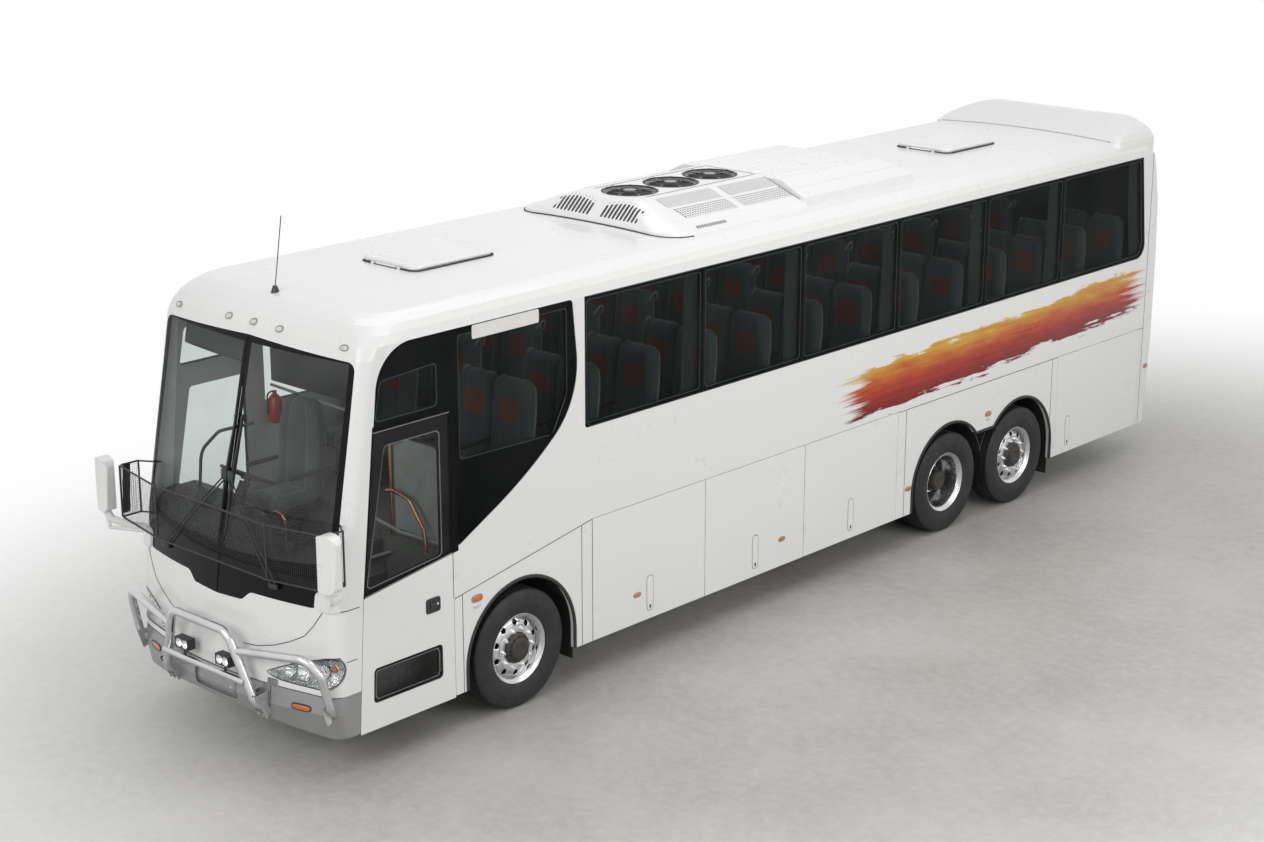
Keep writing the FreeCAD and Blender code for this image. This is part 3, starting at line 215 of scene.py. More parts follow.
def tubeShape(route, radius, sides=12, **more):
    return sweptShape(route, circle(radius, sides), **more)


# A tube along corners that are bent round.
def bentTube(corners, bend, radius, sides=12, steps=6):
    return tubeShape(roundRoute(corners, bend, steps), radius, sides)


def rodShape(start, end, radius, sides=12):
    return tubeShape([start, end], radius, sides)


def boxProfile(wide, high):
    return np.array([(-wide, -high), (wide, -high), (wide, high), (-wide, high)]) / 2


# Puts shapes with their materials into one object that rides on a body.
def addPiece(name, parts, body="root", replaces=(), sharp=38.0, outward=True, modifiers=()):
    materials = []
    points, faces, slots, count = [], [], [], 0
    for shape, material in parts:
        if material not in materials:
            materials.append(material)
        points.append(shape[0])
        for block in shape[1]:
            faces += (block + count).tolist()
            slots += [materials.index(material)] * len(block)
        count += len(shape[0])
    mesh = bpy.data.meshes.new(name)
    mesh.from_pydata(np.vstack(points), [], faces)
    mesh.polygons.foreach_set("material_index", np.array(slots, np.int32))
    for material in materials:
        mesh.materials.append(material)
    work = bmesh.new()
    work.from_mesh(mesh)
    bmesh.ops.remove_doubles(work, verts=work.verts, dist=0.00002)
    if outward:
        bmesh.ops.recalc_face_normals(work, faces=work.faces)
    work.to_mesh(mesh)
    work.free()
    mesh.polygons.foreach_set("use_smooth", np.ones(len(mesh.polygons), bool))
    mesh.set_sharp_from_angle(angle=math.radians(sharp))
    made = bpy.data.objects.new(name, mesh)
    scene.collection.objects.link(made)
    for kind, values in modifiers:
        modifier = made.modifiers.new(kind.title(), kind)
        for key, value in values.items():
            setattr(modifier, key, value)
    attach(made, body)
    if replaces:
        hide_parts(*replaces)
    return made


# Small helpers that lay out the nodes of a material.
def newMaterial(name):
    material = bpy.data.materials.new(name)
    material.use_nodes = True
    tree = material.node_tree
    return material, tree, tree.nodes["Principled BSDF"]


def plug(tree, socket, value):
    if isinstance(value, bpy.types.NodeSocket):
        tree.links.new(value, socket)
    else:
        socket.default_value = value


def addNode(tree, kind, sockets=None, **settings):
    made = tree.nodes.new("ShaderNode" + kind)
    for key, value in settings.items():
        setattr(made, key, value)
    for key, value in (sockets or {}).items():
        plug(tree, made.inputs[key], value)
    return made


def mathOf(tree, operation, *values):
    made = addNode(tree, "Math", dict(enumerate(values)), operation=operation)
    return made.outputs[0]


def rgb(colour):
    return (*colour, 1.0)


# Object coordinates, in metres, stretched and moved.
def coords(tree, stretch=(1, 1, 1), shift=(0, 0, 0)):
    where = addNode(tree, "TexCoord").outputs["Object"]
    return addNode(tree, "Mapping", {"Vector": where, "Scale": stretch, "Location": shift}).outputs[0]


def xyz(tree):
    return addNode(tree, "SeparateXYZ", {0: addNode(tree, "TexCoord").outputs["Object"]}).outputs


def noiseOf(tree, scale, detail=4.0, rough=0.55, **place):
    sockets = {"Vector": coords(tree, **place), "Scale": scale, "Detail": detail, "Roughness": rough}
    return addNode(tree, "TexNoise", sockets).outputs["Fac"]


# A value run from one range onto another and kept inside it.
def rangeOf(tree, value, low, high, toLow=0.0, toHigh=1.0, smooth=False):
    sockets = {"Value": value, "From Min": low, "From Max": high, "To Min": toLow, "To Max": toHigh}
    made = addNode(tree, "MapRange", sockets, interpolation_type="SMOOTHSTEP" if smooth else "LINEAR")
    return made.outputs[0]


def mixOf(tree, factor, first, second):
    made = addNode(tree, "Mix", {"Factor": factor}, data_type="RGBA")
    plug(tree, made.inputs["A"], rgb(first) if isinstance(first, tuple) else first)
    plug(tree, made.inputs["B"], rgb(second) if isinstance(second, tuple) else second)
    return made.outputs["Result"]


def mixShaders(tree, factor, first, second):
    return addNode(tree, "MixShader", {0: factor, 1: first, 2: second}).outputs[0]


def setBump(tree, shader, height, distance):
    made = addNode(tree, "Bump", {"Height": height, "Distance": distance})
    plug(tree, shader.inputs["Normal"], made.outputs[0])


# Roughness that drifts between two values with a cloud of the given scale.
def roughen(tree, shader, cloud, low, high, detail=4.0):
    plug(tree, shader.inputs["Roughness"], rangeOf(tree, noiseOf(tree, cloud, detail), 0.3, 0.7, low, high))


# Road dust over a tone: thickest at the foot, gone by 1.3 m, in upright drifts.
def dustFilm(tree, tone, share):
    low = rangeOf(tree, xyz(tree)[2], 1.3, 0.3)
    film = mathOf(tree, "MULTIPLY", low, noiseOf(tree, 1.1, 3.0, stretch=(1, 1, 0.4)))
    return mixOf(tree, mathOf(tree, "MULTIPLY", film, share), tone, (0.42, 0.39, 0.34))


# A finish whose colour, gloss and grain all vary: cloudy colour between two tones, gloss from a
# second cloud, and a fine grain that lifts the surface.
def finish(name, colour, second, cloud=3.0, grain=300.0, depth=0.0002, gloss=(0.4, 0.6), dust=0.0,
           stretch=(1, 1, 1), **sockets):
    material, tree, shader = newMaterial(name)
    patch = noiseOf(tree, cloud, 5.0, stretch=stretch)
    tone = mixOf(tree, rangeOf(tree, patch, 0.3, 0.7), colour, second)
    if dust:
        tone = dustFilm(tree, tone, dust)
    plug(tree, shader.inputs["Base Color"], tone)
    rough = rangeOf(tree, noiseOf(tree, cloud * 2.7, 3.0, stretch=stretch), 0.3, 0.7, *gloss)
    plug(tree, shader.inputs["Roughness"], rough)
    setBump(tree, shader, noiseOf(tree, grain, 3.0, stretch=stretch), depth)
    for key, value in sockets.items():
        plug(tree, shader.inputs[key.replace("_", " ")], value)
    return material


# Panes: light goes straight through a tint, the surface mirrors by its angle, and a thin film
# of dust greys it. A mask, where it is given, turns the pane into black printed glass.
def glassFinish(name, tint, dirt=0.03, mask=None, shine=1.0, masked=(0.006, 0.006, 0.007)):
    material, tree, shader = newMaterial(name)
    clear = addNode(tree, "BsdfTransparent", {"Color": rgb(tint)}).outputs[0]
    mirror = addNode(tree, "BsdfGlossy", {"Color": rgb((shine,) * 3), "Roughness": 0.02}).outputs[0]
    aslant = addNode(tree, "LayerWeight", {"Blend": 0.5}).outputs["Facing"]
    share = mathOf(tree, "MULTIPLY_ADD", mathOf(tree, "POWER", aslant, 5.0), 0.9, 0.035)
    pane = mixShaders(tree, share, clear, mirror)
    film = addNode(tree, "BsdfDiffuse", {"Color": rgb((0.55, 0.54, 0.5))}).outputs[0]
    patch = rangeOf(tree, noiseOf(tree, 1.7, 6.0, 0.6), 0.35, 0.75, 0.0, dirt)
    pane = mixShaders(tree, patch, pane, film)
    if mask is not None:
        plug(tree, shader.inputs["Base Color"], rgb(masked))
        roughen(tree, shader, 3.0, 0.12, 0.2)
        shader.inputs["Specular IOR Level"].default_value = 0.12
        pane = mixShaders(tree, mask(tree), pane, shader.outputs[0])
    plug(tree, tree.nodes["Material Output"].inputs["Surface"], pane)
    return material


paint = {
    "white": (0.83, 0.83, 0.825), "whiteSecond": (0.82, 0.82, 0.814), "dust": 0.1,
    "silver": (0.34, 0.34, 0.345), "silverSecond": (0.29, 0.29, 0.295),
    "printSlope": 0.1363, "printLow": 2.207, "printTo": -4.53, "printTop": 2.81,
    "streakFrom": 0.55, "streakTo": 5.85, "streakLow": 1.735, "streakRise": 0.036, "streakHalf": 0.24,
}


# Brush streaks along both sides: a band that climbs to the rear, its colour set by the height
# within the band and its edges torn by noise drawn out along the coach.
def streakPaint(name):
    material, tree, shader = newMaterial(name)
    _, y, z = xyz(tree)
    middle = mathOf(tree, "MULTIPLY_ADD", y, paint["streakRise"], paint["streakLow"])
    bristle = noiseOf(tree, 1.0, 6.0, 0.65, stretch=(1, 0.9, 26))
    fray = noiseOf(tree, 1.0, 5.0, 0.6, stretch=(1, 3.0, 9))
    height = mathOf(tree, "DIVIDE", mathOf(tree, "SUBTRACT", z, middle), paint["streakHalf"])
    torn = mathOf(tree, "MULTIPLY_ADD", mathOf(tree, "SUBTRACT", bristle, 0.5), 1.1, height)
    torn = mathOf(tree, "MULTIPLY_ADD", mathOf(tree, "SUBTRACT", fray, 0.5), 0.9, torn)
    along = mathOf(tree, "MULTIPLY_ADD", mathOf(tree, "SUBTRACT", bristle, 0.5), 1.6, y)
    ends = mathOf(tree, "MULTIPLY",
                  rangeOf(tree, along, paint["streakFrom"], paint["streakFrom"] + 0.25),
                  rangeOf(tree, along, paint["streakTo"], paint["streakTo"] - 0.25))
    inside = mathOf(tree, "MULTIPLY", rangeOf(tree, torn, 1.0, 0.93), rangeOf(tree, torn, -1.0, -0.93))
    mask = mathOf(tree, "MULTIPLY", inside, ends)
    tones = addNode(tree, "ValToRGB", {0: rangeOf(tree, torn, -1.0, 1.0)})
    stops = ((0.0, (0.15, 0.009, 0.007)), (0.26, (0.3, 0.016, 0.01)), (0.46, (0.42, 0.04, 0.012)),
             (0.64, (0.52, 0.1, 0.016)), (0.82, (0.6, 0.25, 0.025)), (1.0, (0.66, 0.42, 0.05)))
    for i, (at, colour) in enumerate(stops):
        stop = tones.color_ramp.elements[i] if i < 2 else tones.color_ramp.elements.new(at)
        stop.position = at
        stop.color = rgb(colour)
    white = mixOf(tree, noiseOf(tree, 2.0), paint["white"], paint["whiteSecond"])
    white = dustFilm(tree, white, paint["dust"])
    tone = mixOf(tree, mask, white, tones.outputs[0])
    foot = mathOf(tree, "MULTIPLY_ADD", y, paint["printSlope"], paint["printLow"])
    dark = mathOf(tree, "MULTIPLY", rangeOf(tree, mathOf(tree, "SUBTRACT", z, foot), -0.001, 0.001),
                  rangeOf(tree, y, paint["printTo"] + 0.001, paint["printTo"] - 0.001))
    dark = mathOf(tree, "MULTIPLY", dark,
                  rangeOf(tree, z, paint["printTop"] + 0.001, paint["printTop"] - 0.001))
    plug(tree, shader.inputs["Base Color"], mixOf(tree, dark, tone, (0.008, 0.008, 0.009)))
    roughen(tree, shader, 2.0, 0.27, 0.31, 2.0)
    setBump(tree, shader, noiseOf(tree, 7.0, 1.0), 0.00008)
    plug(tree, shader.inputs["Coat Weight"], mathOf(tree, "MULTIPLY_ADD", dark, -0.3, 0.3))
    plug(tree, shader.inputs["Specular IOR Level"],
         mathOf(tree, "SUBTRACT", mathOf(tree, "MULTIPLY_ADD", dark, -0.46, 0.5),
                mathOf(tree, "MULTIPLY", mask, 0.3)))
    shader.inputs["Coat Roughness"].default_value = 0.06
    return material


whitePaint = finish("whitePaint", paint["white"], paint["whiteSecond"], 2.0, 7.0, 0.00008, (0.27, 0.31),
                    paint["dust"], Coat_Weight=0.35, Coat_Roughness=0.06)
sidePaint = streakPaint("sidePaint")
silverPaint = finish("silverPaint", paint["silver"], paint["silverSecond"], 4.0, 900.0, 0.0001, (0.3, 0.42),
                     0.2, Metallic=0.6, Coat_Weight=0.3)
polishedAlloy = finish("polishedAlloy", (0.66, 0.66, 0.665), (0.56, 0.56, 0.57), 5.0, 260.0, 0.00012,
                       (0.16, 0.3), Metallic=1.0)
brushedAlloy = finish("brushedAlloy", (0.72, 0.72, 0.72), (0.58, 0.58, 0.59), 9.0, 420.0, 0.00025,
                      (0.26, 0.42), stretch=(1, 1, 6), Metallic=1.0)
chrome = finish("chrome", (0.93, 0.93, 0.94), (0.86, 0.86, 0.88), 12.0, 90.0, 0.0001, (0.03, 0.1),
                Metallic=1.0)
blackMetal = finish("blackMetal", (0.014, 0.014, 0.015), (0.03, 0.03, 0.03), 14.0, 500.0, 0.0002,
                    (0.35, 0.55))
blackPlastic = finish("blackPlastic", (0.018, 0.018, 0.019), (0.03, 0.03, 0.031), 8.0, 700.0, 0.0003,
                      (0.4, 0.6))
blackTrim = finish("blackTrim", (0.007, 0.007, 0.008), (0.011, 0.011, 0.012), 3.0, 40.0, 0.0001, (0.32, 0.42),
                   Specular_IOR_Level=0.06)
seamRubber = finish("seamRubber", (0.02, 0.02, 0.02), (0.04, 0.04, 0.04), 6.0, 300.0, 0.0002, (0.6, 0.8))
archRubber = finish("archRubber", (0.012, 0.012, 0.012), (0.03, 0.029, 0.027), 4.0, 220.0, 0.0005,
                    (0.5, 0.75))
chassisPaint = finish("chassisPaint", (0.02, 0.02, 0.021), (0.05, 0.046, 0.04), 2.5, 90.0, 0.0008, (0.5, 0.8))
castIron = finish("castIron", (0.035, 0.033, 0.03), (0.09, 0.08, 0.07), 7.0, 260.0, 0.0012, (0.45, 0.75),
                  Metallic=0.4)
cabinTrim = finish("cabinTrim", (0.13, 0.138, 0.138), (0.1, 0.107, 0.107), 3.0, 500.0, 0.0006, (0.6, 0.8))
floorVinyl = finish("floorVinyl", (0.09, 0.09, 0.088), (0.15, 0.148, 0.14), 30.0, 900.0, 0.0002, (0.45, 0.65))
dashPlastic = finish("dashPlastic", (0.03, 0.031, 0.032), (0.045, 0.046, 0.046), 4.0, 900.0, 0.0004,
                     (0.5, 0.65))
copperRail = finish("copperRail", (0.55, 0.27, 0.15), (0.42, 0.19, 0.1), 12.0, 300.0, 0.0001, (0.15, 0.3),
                    Metallic=0.9)
mirrorSilver = finish("mirrorSilver", (0.9, 0.92, 0.93), (0.85, 0.87, 0.88), 3.0, 20.0, 0.00002, (0.01, 0.03),
                      Metallic=1.0)
hubGrease = finish("hubGrease", (0.015, 0.014, 0.013), (0.05, 0.045, 0.04), 22.0, 190.0, 0.0012, (0.3, 0.6))
engineIron = finish("engineIron", (0.1, 0.1, 0.1), (0.16, 0.15, 0.14), 5.0, 120.0, 0.002, (0.5, 0.7),
                    Metallic=0.6)
greyPlastic = finish("greyPlastic", (0.28, 0.28, 0.27), (0.34, 0.34, 0.33), 9.0, 600.0, 0.0003, (0.4, 0.55))
signPlate = finish("signPlate", (0.8, 0.79, 0.77), (0.75, 0.74, 0.72), 14.0, 90.0, 0.00005, (0.3, 0.4))
extinguisherRed = finish("extinguisherRed", (0.5, 0.02, 0.015), (0.4, 0.015, 0.01), 9.0, 70.0, 0.0001,
                         (0.2, 0.3))
innerTrim = finish("innerTrim", (0.5, 0.5, 0.49), (0.44, 0.44, 0.43), 2.0, 700.0, 0.0005, (0.6, 0.8))


# Moulded lens: deep colour under gloss, with ribs pressed in across it.
def lensFinish(name, colour, second, ribs=160.0):
    return finish(name, colour, second, 25.0, ribs, 0.0008, (0.1, 0.2), Coat_Weight=0.8)


amberLens = lensFinish("amberLens", (0.72, 0.19, 0.02), (0.5, 0.1, 0.012))
redLens = lensFinish("redLens", (0.42, 0.012, 0.012), (0.28, 0.008, 0.008))
paleLens = lensFinish("paleLens", (0.75, 0.75, 0.74), (0.5, 0.5, 0.5), 240.0)


# Bright bowl of a lamp: small facets that each tilt their own way.
def facetFinish(name):
    material, tree, shader = newMaterial(name)
    cells = addNode(tree, "TexVoronoi", {"Vector": coords(tree), "Scale": 55.0})
    tone = mixOf(tree, cells.outputs["Distance"], (0.95, 0.95, 0.95), (0.5, 0.5, 0.51))
    plug(tree, shader.inputs["Base Color"], tone)
    roughen(tree, shader, 40.0, 0.05, 0.2)
    shader.inputs["Metallic"].default_value = 1.0
    setBump(tree, shader, cells.outputs["Distance"], 0.006)
    return material


lampBowl = facetFinish("lampBowl")


# Tyre rubber: dark and even, greyed by dust on the side, with fine moulded rings.
def tyreFinish(name):
    material, tree, shader = newMaterial(name)
    patch = rangeOf(tree, noiseOf(tree, 3.5, 6.0), 0.3, 0.75)
    tone = mixOf(tree, patch, (0.009, 0.009, 0.0095), (0.02, 0.0195, 0.019))
    plug(tree, shader.inputs["Base Color"], tone)
    roughen(tree, shader, 9.0, 0.55, 0.75)
    setBump(tree, shader, noiseOf(tree, 420.0, 2.0), 0.0005)
    return material


tyreRubber = tyreFinish("tyreRubber")


# Woven cloth: two crossed waves of threads raise the surface, and their colour is flecked.
def clothFinish(name, colour, second, threads=420.0, depth=0.0006):
    material, tree, shader = newMaterial(name)
    waves = [addNode(tree, "TexWave", {"Vector": coords(tree), "Scale": threads / 6.28, "Distortion": 0.6},
                     bands_direction=axis).outputs["Fac"] for axis in ("X", "Z")]
    weave = mathOf(tree, "MAXIMUM", *waves)
    fleck = mathOf(tree, "MULTIPLY", noiseOf(tree, 190.0, 3.0), rangeOf(tree, weave, 0.0, 1.0, 0.6, 1.2))
    worn = mathOf(tree, "MULTIPLY_ADD", noiseOf(tree, 4.0), 0.5, fleck)
    plug(tree, shader.inputs["Base Color"], mixOf(tree, rangeOf(tree, worn, 0.35, 0.95), colour, second))
    plug(tree, shader.inputs["Roughness"], rangeOf(tree, worn, 0.3, 0.9, 0.95, 0.75))
    shader.inputs["Sheen Weight"].default_value = 0.3
    setBump(tree, shader, weave, depth)
    return material


seatCloth = clothFinish("seatCloth", (0.055, 0.062, 0.066), (0.11, 0.12, 0.125))
seatAccent = clothFinish("seatAccent", (0.2, 0.04, 0.02), (0.3, 0.075, 0.04))
curtainCloth = clothFinish("curtainCloth", (0.1, 0.108, 0.108), (0.17, 0.18, 0.18), 700.0, 0.0003)


# Black print along the foot, sides and top of the windscreen, and up its middle joint.
def screenPrint(tree):
    x, _, z = xyz(tree)
    across = mathOf(tree, "ABSOLUTE", x)
    foot = mathOf(tree, "MULTIPLY_ADD", mathOf(tree, "MULTIPLY", across, across), 0.055, 1.695)
    low = rangeOf(tree, mathOf(tree, "SUBTRACT", foot, z), -0.004, 0.004)
    top = rangeOf(tree, z, 3.298, 3.304)
    sideAt = mathOf(tree, "MULTIPLY_ADD", z, -0.0135, 1.155)
    side = rangeOf(tree, mathOf(tree, "SUBTRACT", across, sideAt), -0.003, 0.003)
    joint = rangeOf(tree, across, 0.042, 0.039)
    return mathOf(tree, "MAXIMUM", mathOf(tree, "MAXIMUM", low, top), mathOf(tree, "MAXIMUM", side, joint))


# Past the rounded end of a headlamp its cover is painted like the body.
def lampEnd(tree):
    _, y, z = xyz(tree)
    bow = mathOf(tree, "MULTIPLY", mathOf(tree, "SUBTRACT", z, 0.93), mathOf(tree, "SUBTRACT", z, 0.93))
    edge = mathOf(tree, "MULTIPLY_ADD", bow, -4.5, -5.732)
    return mathOf(tree, "MULTIPLY", rangeOf(tree, mathOf(tree, "SUBTRACT", y, edge), -0.001, 0.001),
                  rangeOf(tree, y, -5.0, -5.1))


clearPane = glassFinish("clearPane", (0.9, 0.925, 0.92), 0.05, screenPrint, 0.35)
tintedPane = glassFinish("tintedPane", (0.66, 0.7, 0.7), 0.012, shine=0.12)
lampGlass = glassFinish("lampGlass", (0.95, 0.96, 0.96), 0.01, lampEnd, masked=paint["white"])
doorPane = glassFinish("doorPane", (0.9, 0.92, 0.915), 0.02, shine=0.2)
print("stage: materials made")


stageSetup = {
    "cameraAt": (14.217, -16.506, 7.933), "cameraTurn": (73.358, 0.0, 42.757), "lens": 66.305,
    "sky": 0.44, "keySize": (9.0, 15.0), "keyAt": (1.5, 0.0, 12.0), "keyPower": 570.0,
    "frontFill": 400.0, "sideFill": 640.0, "cabinPower": 12.0, "floorSize": 90.0,
}


# 1 for rays that only show the backdrop: to the eye, in a mirror or through glass.
def seenOnly(tree):
    rays = addNode(tree, "LightPath").outputs
    seen = mathOf(tree, "MAXIMUM", rays["Is Camera Ray"], rays["Is Glossy Ray"])
    return mathOf(tree, "MAXIMUM", seen, rays["Is Transmission Ray"])


def makeWorld():
    world = bpy.data.worlds.new("studio")
    scene.world = world
    world.use_nodes = True
    tree = world.node_tree
    ground = tree.nodes["Background"]
    ground.inputs["Color"].default_value = rgb((1, 1, 1))
    bright = rangeOf(tree, seenOnly(tree), 0.0, 1.0, stageSetup["sky"], 1.0)
    plug(tree, ground.inputs["Strength"], bright)


# Pale concrete that clears to the backdrop's white away from the coach: faint clouds, finer
# specks, and a clearing by an oval distance from the coach's middle.
def makeFloor():
    size = stageSetup["floorSize"]
    corners = np.array([(-size, -size, 0), (size, -size, 0), (size, size, 0), (-size, size, 0)], float)
    mesh = bpy.data.meshes.new("studioFloor")
    mesh.from_pydata(corners, [], [(0, 1, 2, 3)])
    made = bpy.data.objects.new("studioFloor", mesh)
    scene.collection.objects.link(made)
    material, tree, shader = newMaterial("paleConcrete")
    cloud = noiseOf(tree, 0.55, 7.0, 0.6)
    speck = noiseOf(tree, 9.0, 4.0, 0.7)
    tone = mixOf(tree, rangeOf(tree, cloud, 0.35, 0.65), (0.4, 0.39, 0.37), (0.5, 0.49, 0.465))
    tone = mixOf(tree, rangeOf(tree, speck, 0.4, 0.7, 0.0, 0.35), tone, (0.66, 0.65, 0.62))
    plug(tree, shader.inputs["Base Color"], tone)
    plug(tree, shader.inputs["Roughness"], rangeOf(tree, cloud, 0.3, 0.7, 0.38, 0.55))
    x, y, _ = xyz(tree)
    away = addNode(tree, "CombineXYZ", {0: mathOf(tree, "DIVIDE", mathOf(tree, "SUBTRACT", x, 1.5), 7.5),
                                        1: mathOf(tree, "DIVIDE", mathOf(tree, "SUBTRACT", y, 0.3), 11.0)})
    reach = addNode(tree, "VectorMath", {0: away.outputs[0]}, operation="LENGTH").outputs["Value"]
    clear = rangeOf(tree, reach, 0.45, 1.25, smooth=True)
    clear = mathOf(tree, "MULTIPLY", clear, seenOnly(tree))
    light = addNode(tree, "Emission", {"Color": rgb((1, 1, 1)), "Strength": 1.0}).outputs[0]
    plug(tree, tree.nodes["Material Output"].inputs["Surface"],
         mixShaders(tree, clear, shader.outputs[0], light))
    mesh.materials.append(material)


def addLamp(name, place, aim, size, power):
    lamp = bpy.data.lights.new(name, "AREA")
    lamp.shape = "RECTANGLE"
    lamp.size, lamp.size_y = size
    lamp.energy = power
    made = bpy.data.objects.new(name, lamp)
    made.location = place
    away = np.array(place, float) - np.array(aim, float)
    made.rotation_euler = (math.atan2(math.hypot(away[0], away[1]), away[2]), 0,
                           math.atan2(away[0], -away[1]))
    scene.collection.objects.link(made)
    return made


def makeCamera():
    lens = bpy.data.cameras.new("camera")
    lens.lens = stageSetup["lens"]
    lens.clip_end = 300.0
    made = bpy.data.objects.new("camera", lens)
    made.location = stageSetup["cameraAt"]
    made.rotation_euler = [math.radians(a) for a in stageSetup["cameraTurn"]]
    scene.collection.objects.link(made)
    scene.camera = made


scene.view_settings.view_transform = "Standard"
makeWorld()
makeFloor()
makeCamera()
addLamp("keyLamp", stageSetup["keyAt"], (0, 0, 0), stageSetup["keySize"], stageSetup["keyPower"])
addLamp("frontLamp", (2.0, -14.0, 6.0), (0, -5, 1.5), (6.0, 5.0), stageSetup["frontFill"])
addLamp("sideLamp", (14.0, 0.0, 6.0), (0, 0, 1.5), (12.0, 5.0), stageSetup["sideFill"])
cabinLamp = addLamp("cabinLamp", (0, 0.0, 3.5), (0, 0, 0), (0.9, 10.0), stageSetup["cabinPower"])
cabinLamp.visible_camera = False
cabinLamp.visible_glossy = False
print("stage: camera, floor and lamps set")


def coat(name, *materials):
    mesh = nodes[name].data
    mesh.materials.clear()
    for material in materials:
        mesh.materials.append(material)
    return mesh


# The middle of each face, as an array.
def faceMiddles(mesh):
    middles = np.zeros(len(mesh.polygons) * 3, np.float32)
    mesh.polygons.foreach_get("center", middles)
    return middles.reshape(-1, 3)


def chooseSlots(mesh, slots):
    mesh.polygons.foreach_set("material_index", slots.astype(np.int32))
    mesh.update()


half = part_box("left_wall")[1].x         # half the body's width
glassSeat = half - 0.0083               # the recess behind the flush side glass

plain = {
    "front_panel": whitePaint, "bumper": silverPaint, "windscreen": clearPane, "roof": whitePaint,
    "rear_panel": whitePaint, "engine_door": whitePaint, "side_windows": tintedPane,
    "door_glass": doorPane, "door_arm": blackMetal, "cabin_floor": floorVinyl, "underframe": chassisPaint,
    "wheel_arches": archRubber, "front_axle": chassisPaint, "knuckle_left": castIron,
    "knuckle_right": castIron, "track_rod": chassisPaint, "rear_axles": castIron, "engine": engineIron,
    "bull_bar": polishedAlloy, "lamps": lampGlass, "wipers": blackMetal, "stone_guard": blackMetal,
    "mirrors": whitePaint, "dashboard": dashPlastic, "steering_wheel": dashPlastic, "seats": seatCloth,
    "curtains": curtainCloth, "roof_unit": whitePaint, "rear_spoiler": whitePaint, "antenna": blackMetal,
    "roof_hatch_front": whitePaint, "roof_hatch_rear": whitePaint, "luggage_bays": greyPlastic,
    "driver_seat": seatCloth,
}
for name, material in plain.items():
    coat(name, material)
for name in nodes:
    if name.startswith(("luggage_door", "engine_flap")):
        coat(name, sidePaint)
    if name.startswith("condenser_fan"):
        coat(name, blackPlastic)
    if "_rim_" in name:
        coat(name, polishedAlloy)
    if "_tyre" in name:
        coat(name, tyreRubber)
# Walls and door: paint outside, black print in the recess behind the glass, pale lining inside.
for name in ("left_wall", "right_wall", "entrance_door"):
    mesh = coat(name, sidePaint, blackTrim, innerTrim)
    middle = faceMiddles(mesh)
    across = np.abs(middle[:, 0])
    slots = np.where(across < half - 0.047, 2, 0)
    recess = (np.abs(across - glassSeat) < 0.002) | ((across < glassSeat) & (across > half - 0.0465))
    seatHigh = middle[:, 2] > 1.45
    corner = ((middle[:, 1] < -5.45) & (middle[:, 2] > 2.75)) | (middle[:, 2] > 3.41)
    slots = np.where(recess & ~corner & (seatHigh | (name == "entrance_door")), 1, slots)
    chooseSlots(mesh, slots)
# The far side's front panes, seen through the windscreen, are clear.
mesh = coat("side_windows", tintedPane, doorPane)
middle = faceMiddles(mesh)
chooseSlots(mesh, np.where((middle[:, 0] < 0) & (middle[:, 1] < -3.2), 1, 0))
# Lamps: black drive lamp housings with a clear face, and red tail lamps.
mesh = coat("lamps", lampGlass, blackPlastic, redLens)
middle = faceMiddles(mesh)
normals = np.zeros(len(mesh.polygons) * 3, np.float32)
mesh.polygons.foreach_get("normal", normals)
housing = (middle[:, 1] < -6.1) & (normals.reshape(-1, 3)[:, 1] > -0.9) & (np.abs(middle[:, 0]) < 0.4)
chooseSlots(mesh, np.where(housing, 1, np.where(middle[:, 1] > 0, 2, 0)))
print("stage: node finishes set")


def middleOf(node):
    low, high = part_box(node)
    return (np.array(low) + np.array(high)) / 2


# Wheels. Each part is turned about the axle, +x outwards, and set at its wheel's middle.
wheel = {
    "x": 1.085, "z": 0.522, "twin": 0.33, "handHoles": 10, "holeAt": 0.226, "holeR": 0.025,
    "nuts": 10, "nutAt": 0.1675, "lugs": 50,
}
tyreHalf = np.array([
    (0.0, 0.522), (0.031, 0.5212), (0.032, 0.509), (0.041, 0.509), (0.042, 0.5208), (0.087, 0.5193),
    (0.088, 0.507), (0.097, 0.507), (0.098, 0.5187), (0.112, 0.5172), (0.119, 0.5155), (0.1275, 0.508),
    (0.1325, 0.5), (0.1375, 0.488), (0.1405, 0.476), (0.1424, 0.464), (0.1436, 0.4615), (0.1432, 0.458),
    (0.1443, 0.447), (0.1457, 0.432), (0.1464, 0.419), (0.147, 0.4165), (0.1467, 0.411), (0.1466, 0.4),
    (0.1455, 0.385), (0.1425, 0.366), (0.1375, 0.346), (0.1325, 0.33), (0.1305, 0.3205), (0.127, 0.3185),
    (0.1245, 0.3145), (0.12, 0.306), (0.1155, 0.298), (0.108, 0.29)])
tyreProfile = np.vstack([tyreHalf, tyreHalf[:0:-1] * (-1, 1)])


# Tread: between its ribs the shoulder drops at every third step round the tyre.
def treadWave(profile, angle):
    shoulder = (profile[:, 1] > 0.5165) & (np.abs(profile[:, 0]) > 0.086)
    notch = np.arange(len(angle)) % 3 == 0
    return -0.009 * (shoulder[:, None] & notch[None, :])


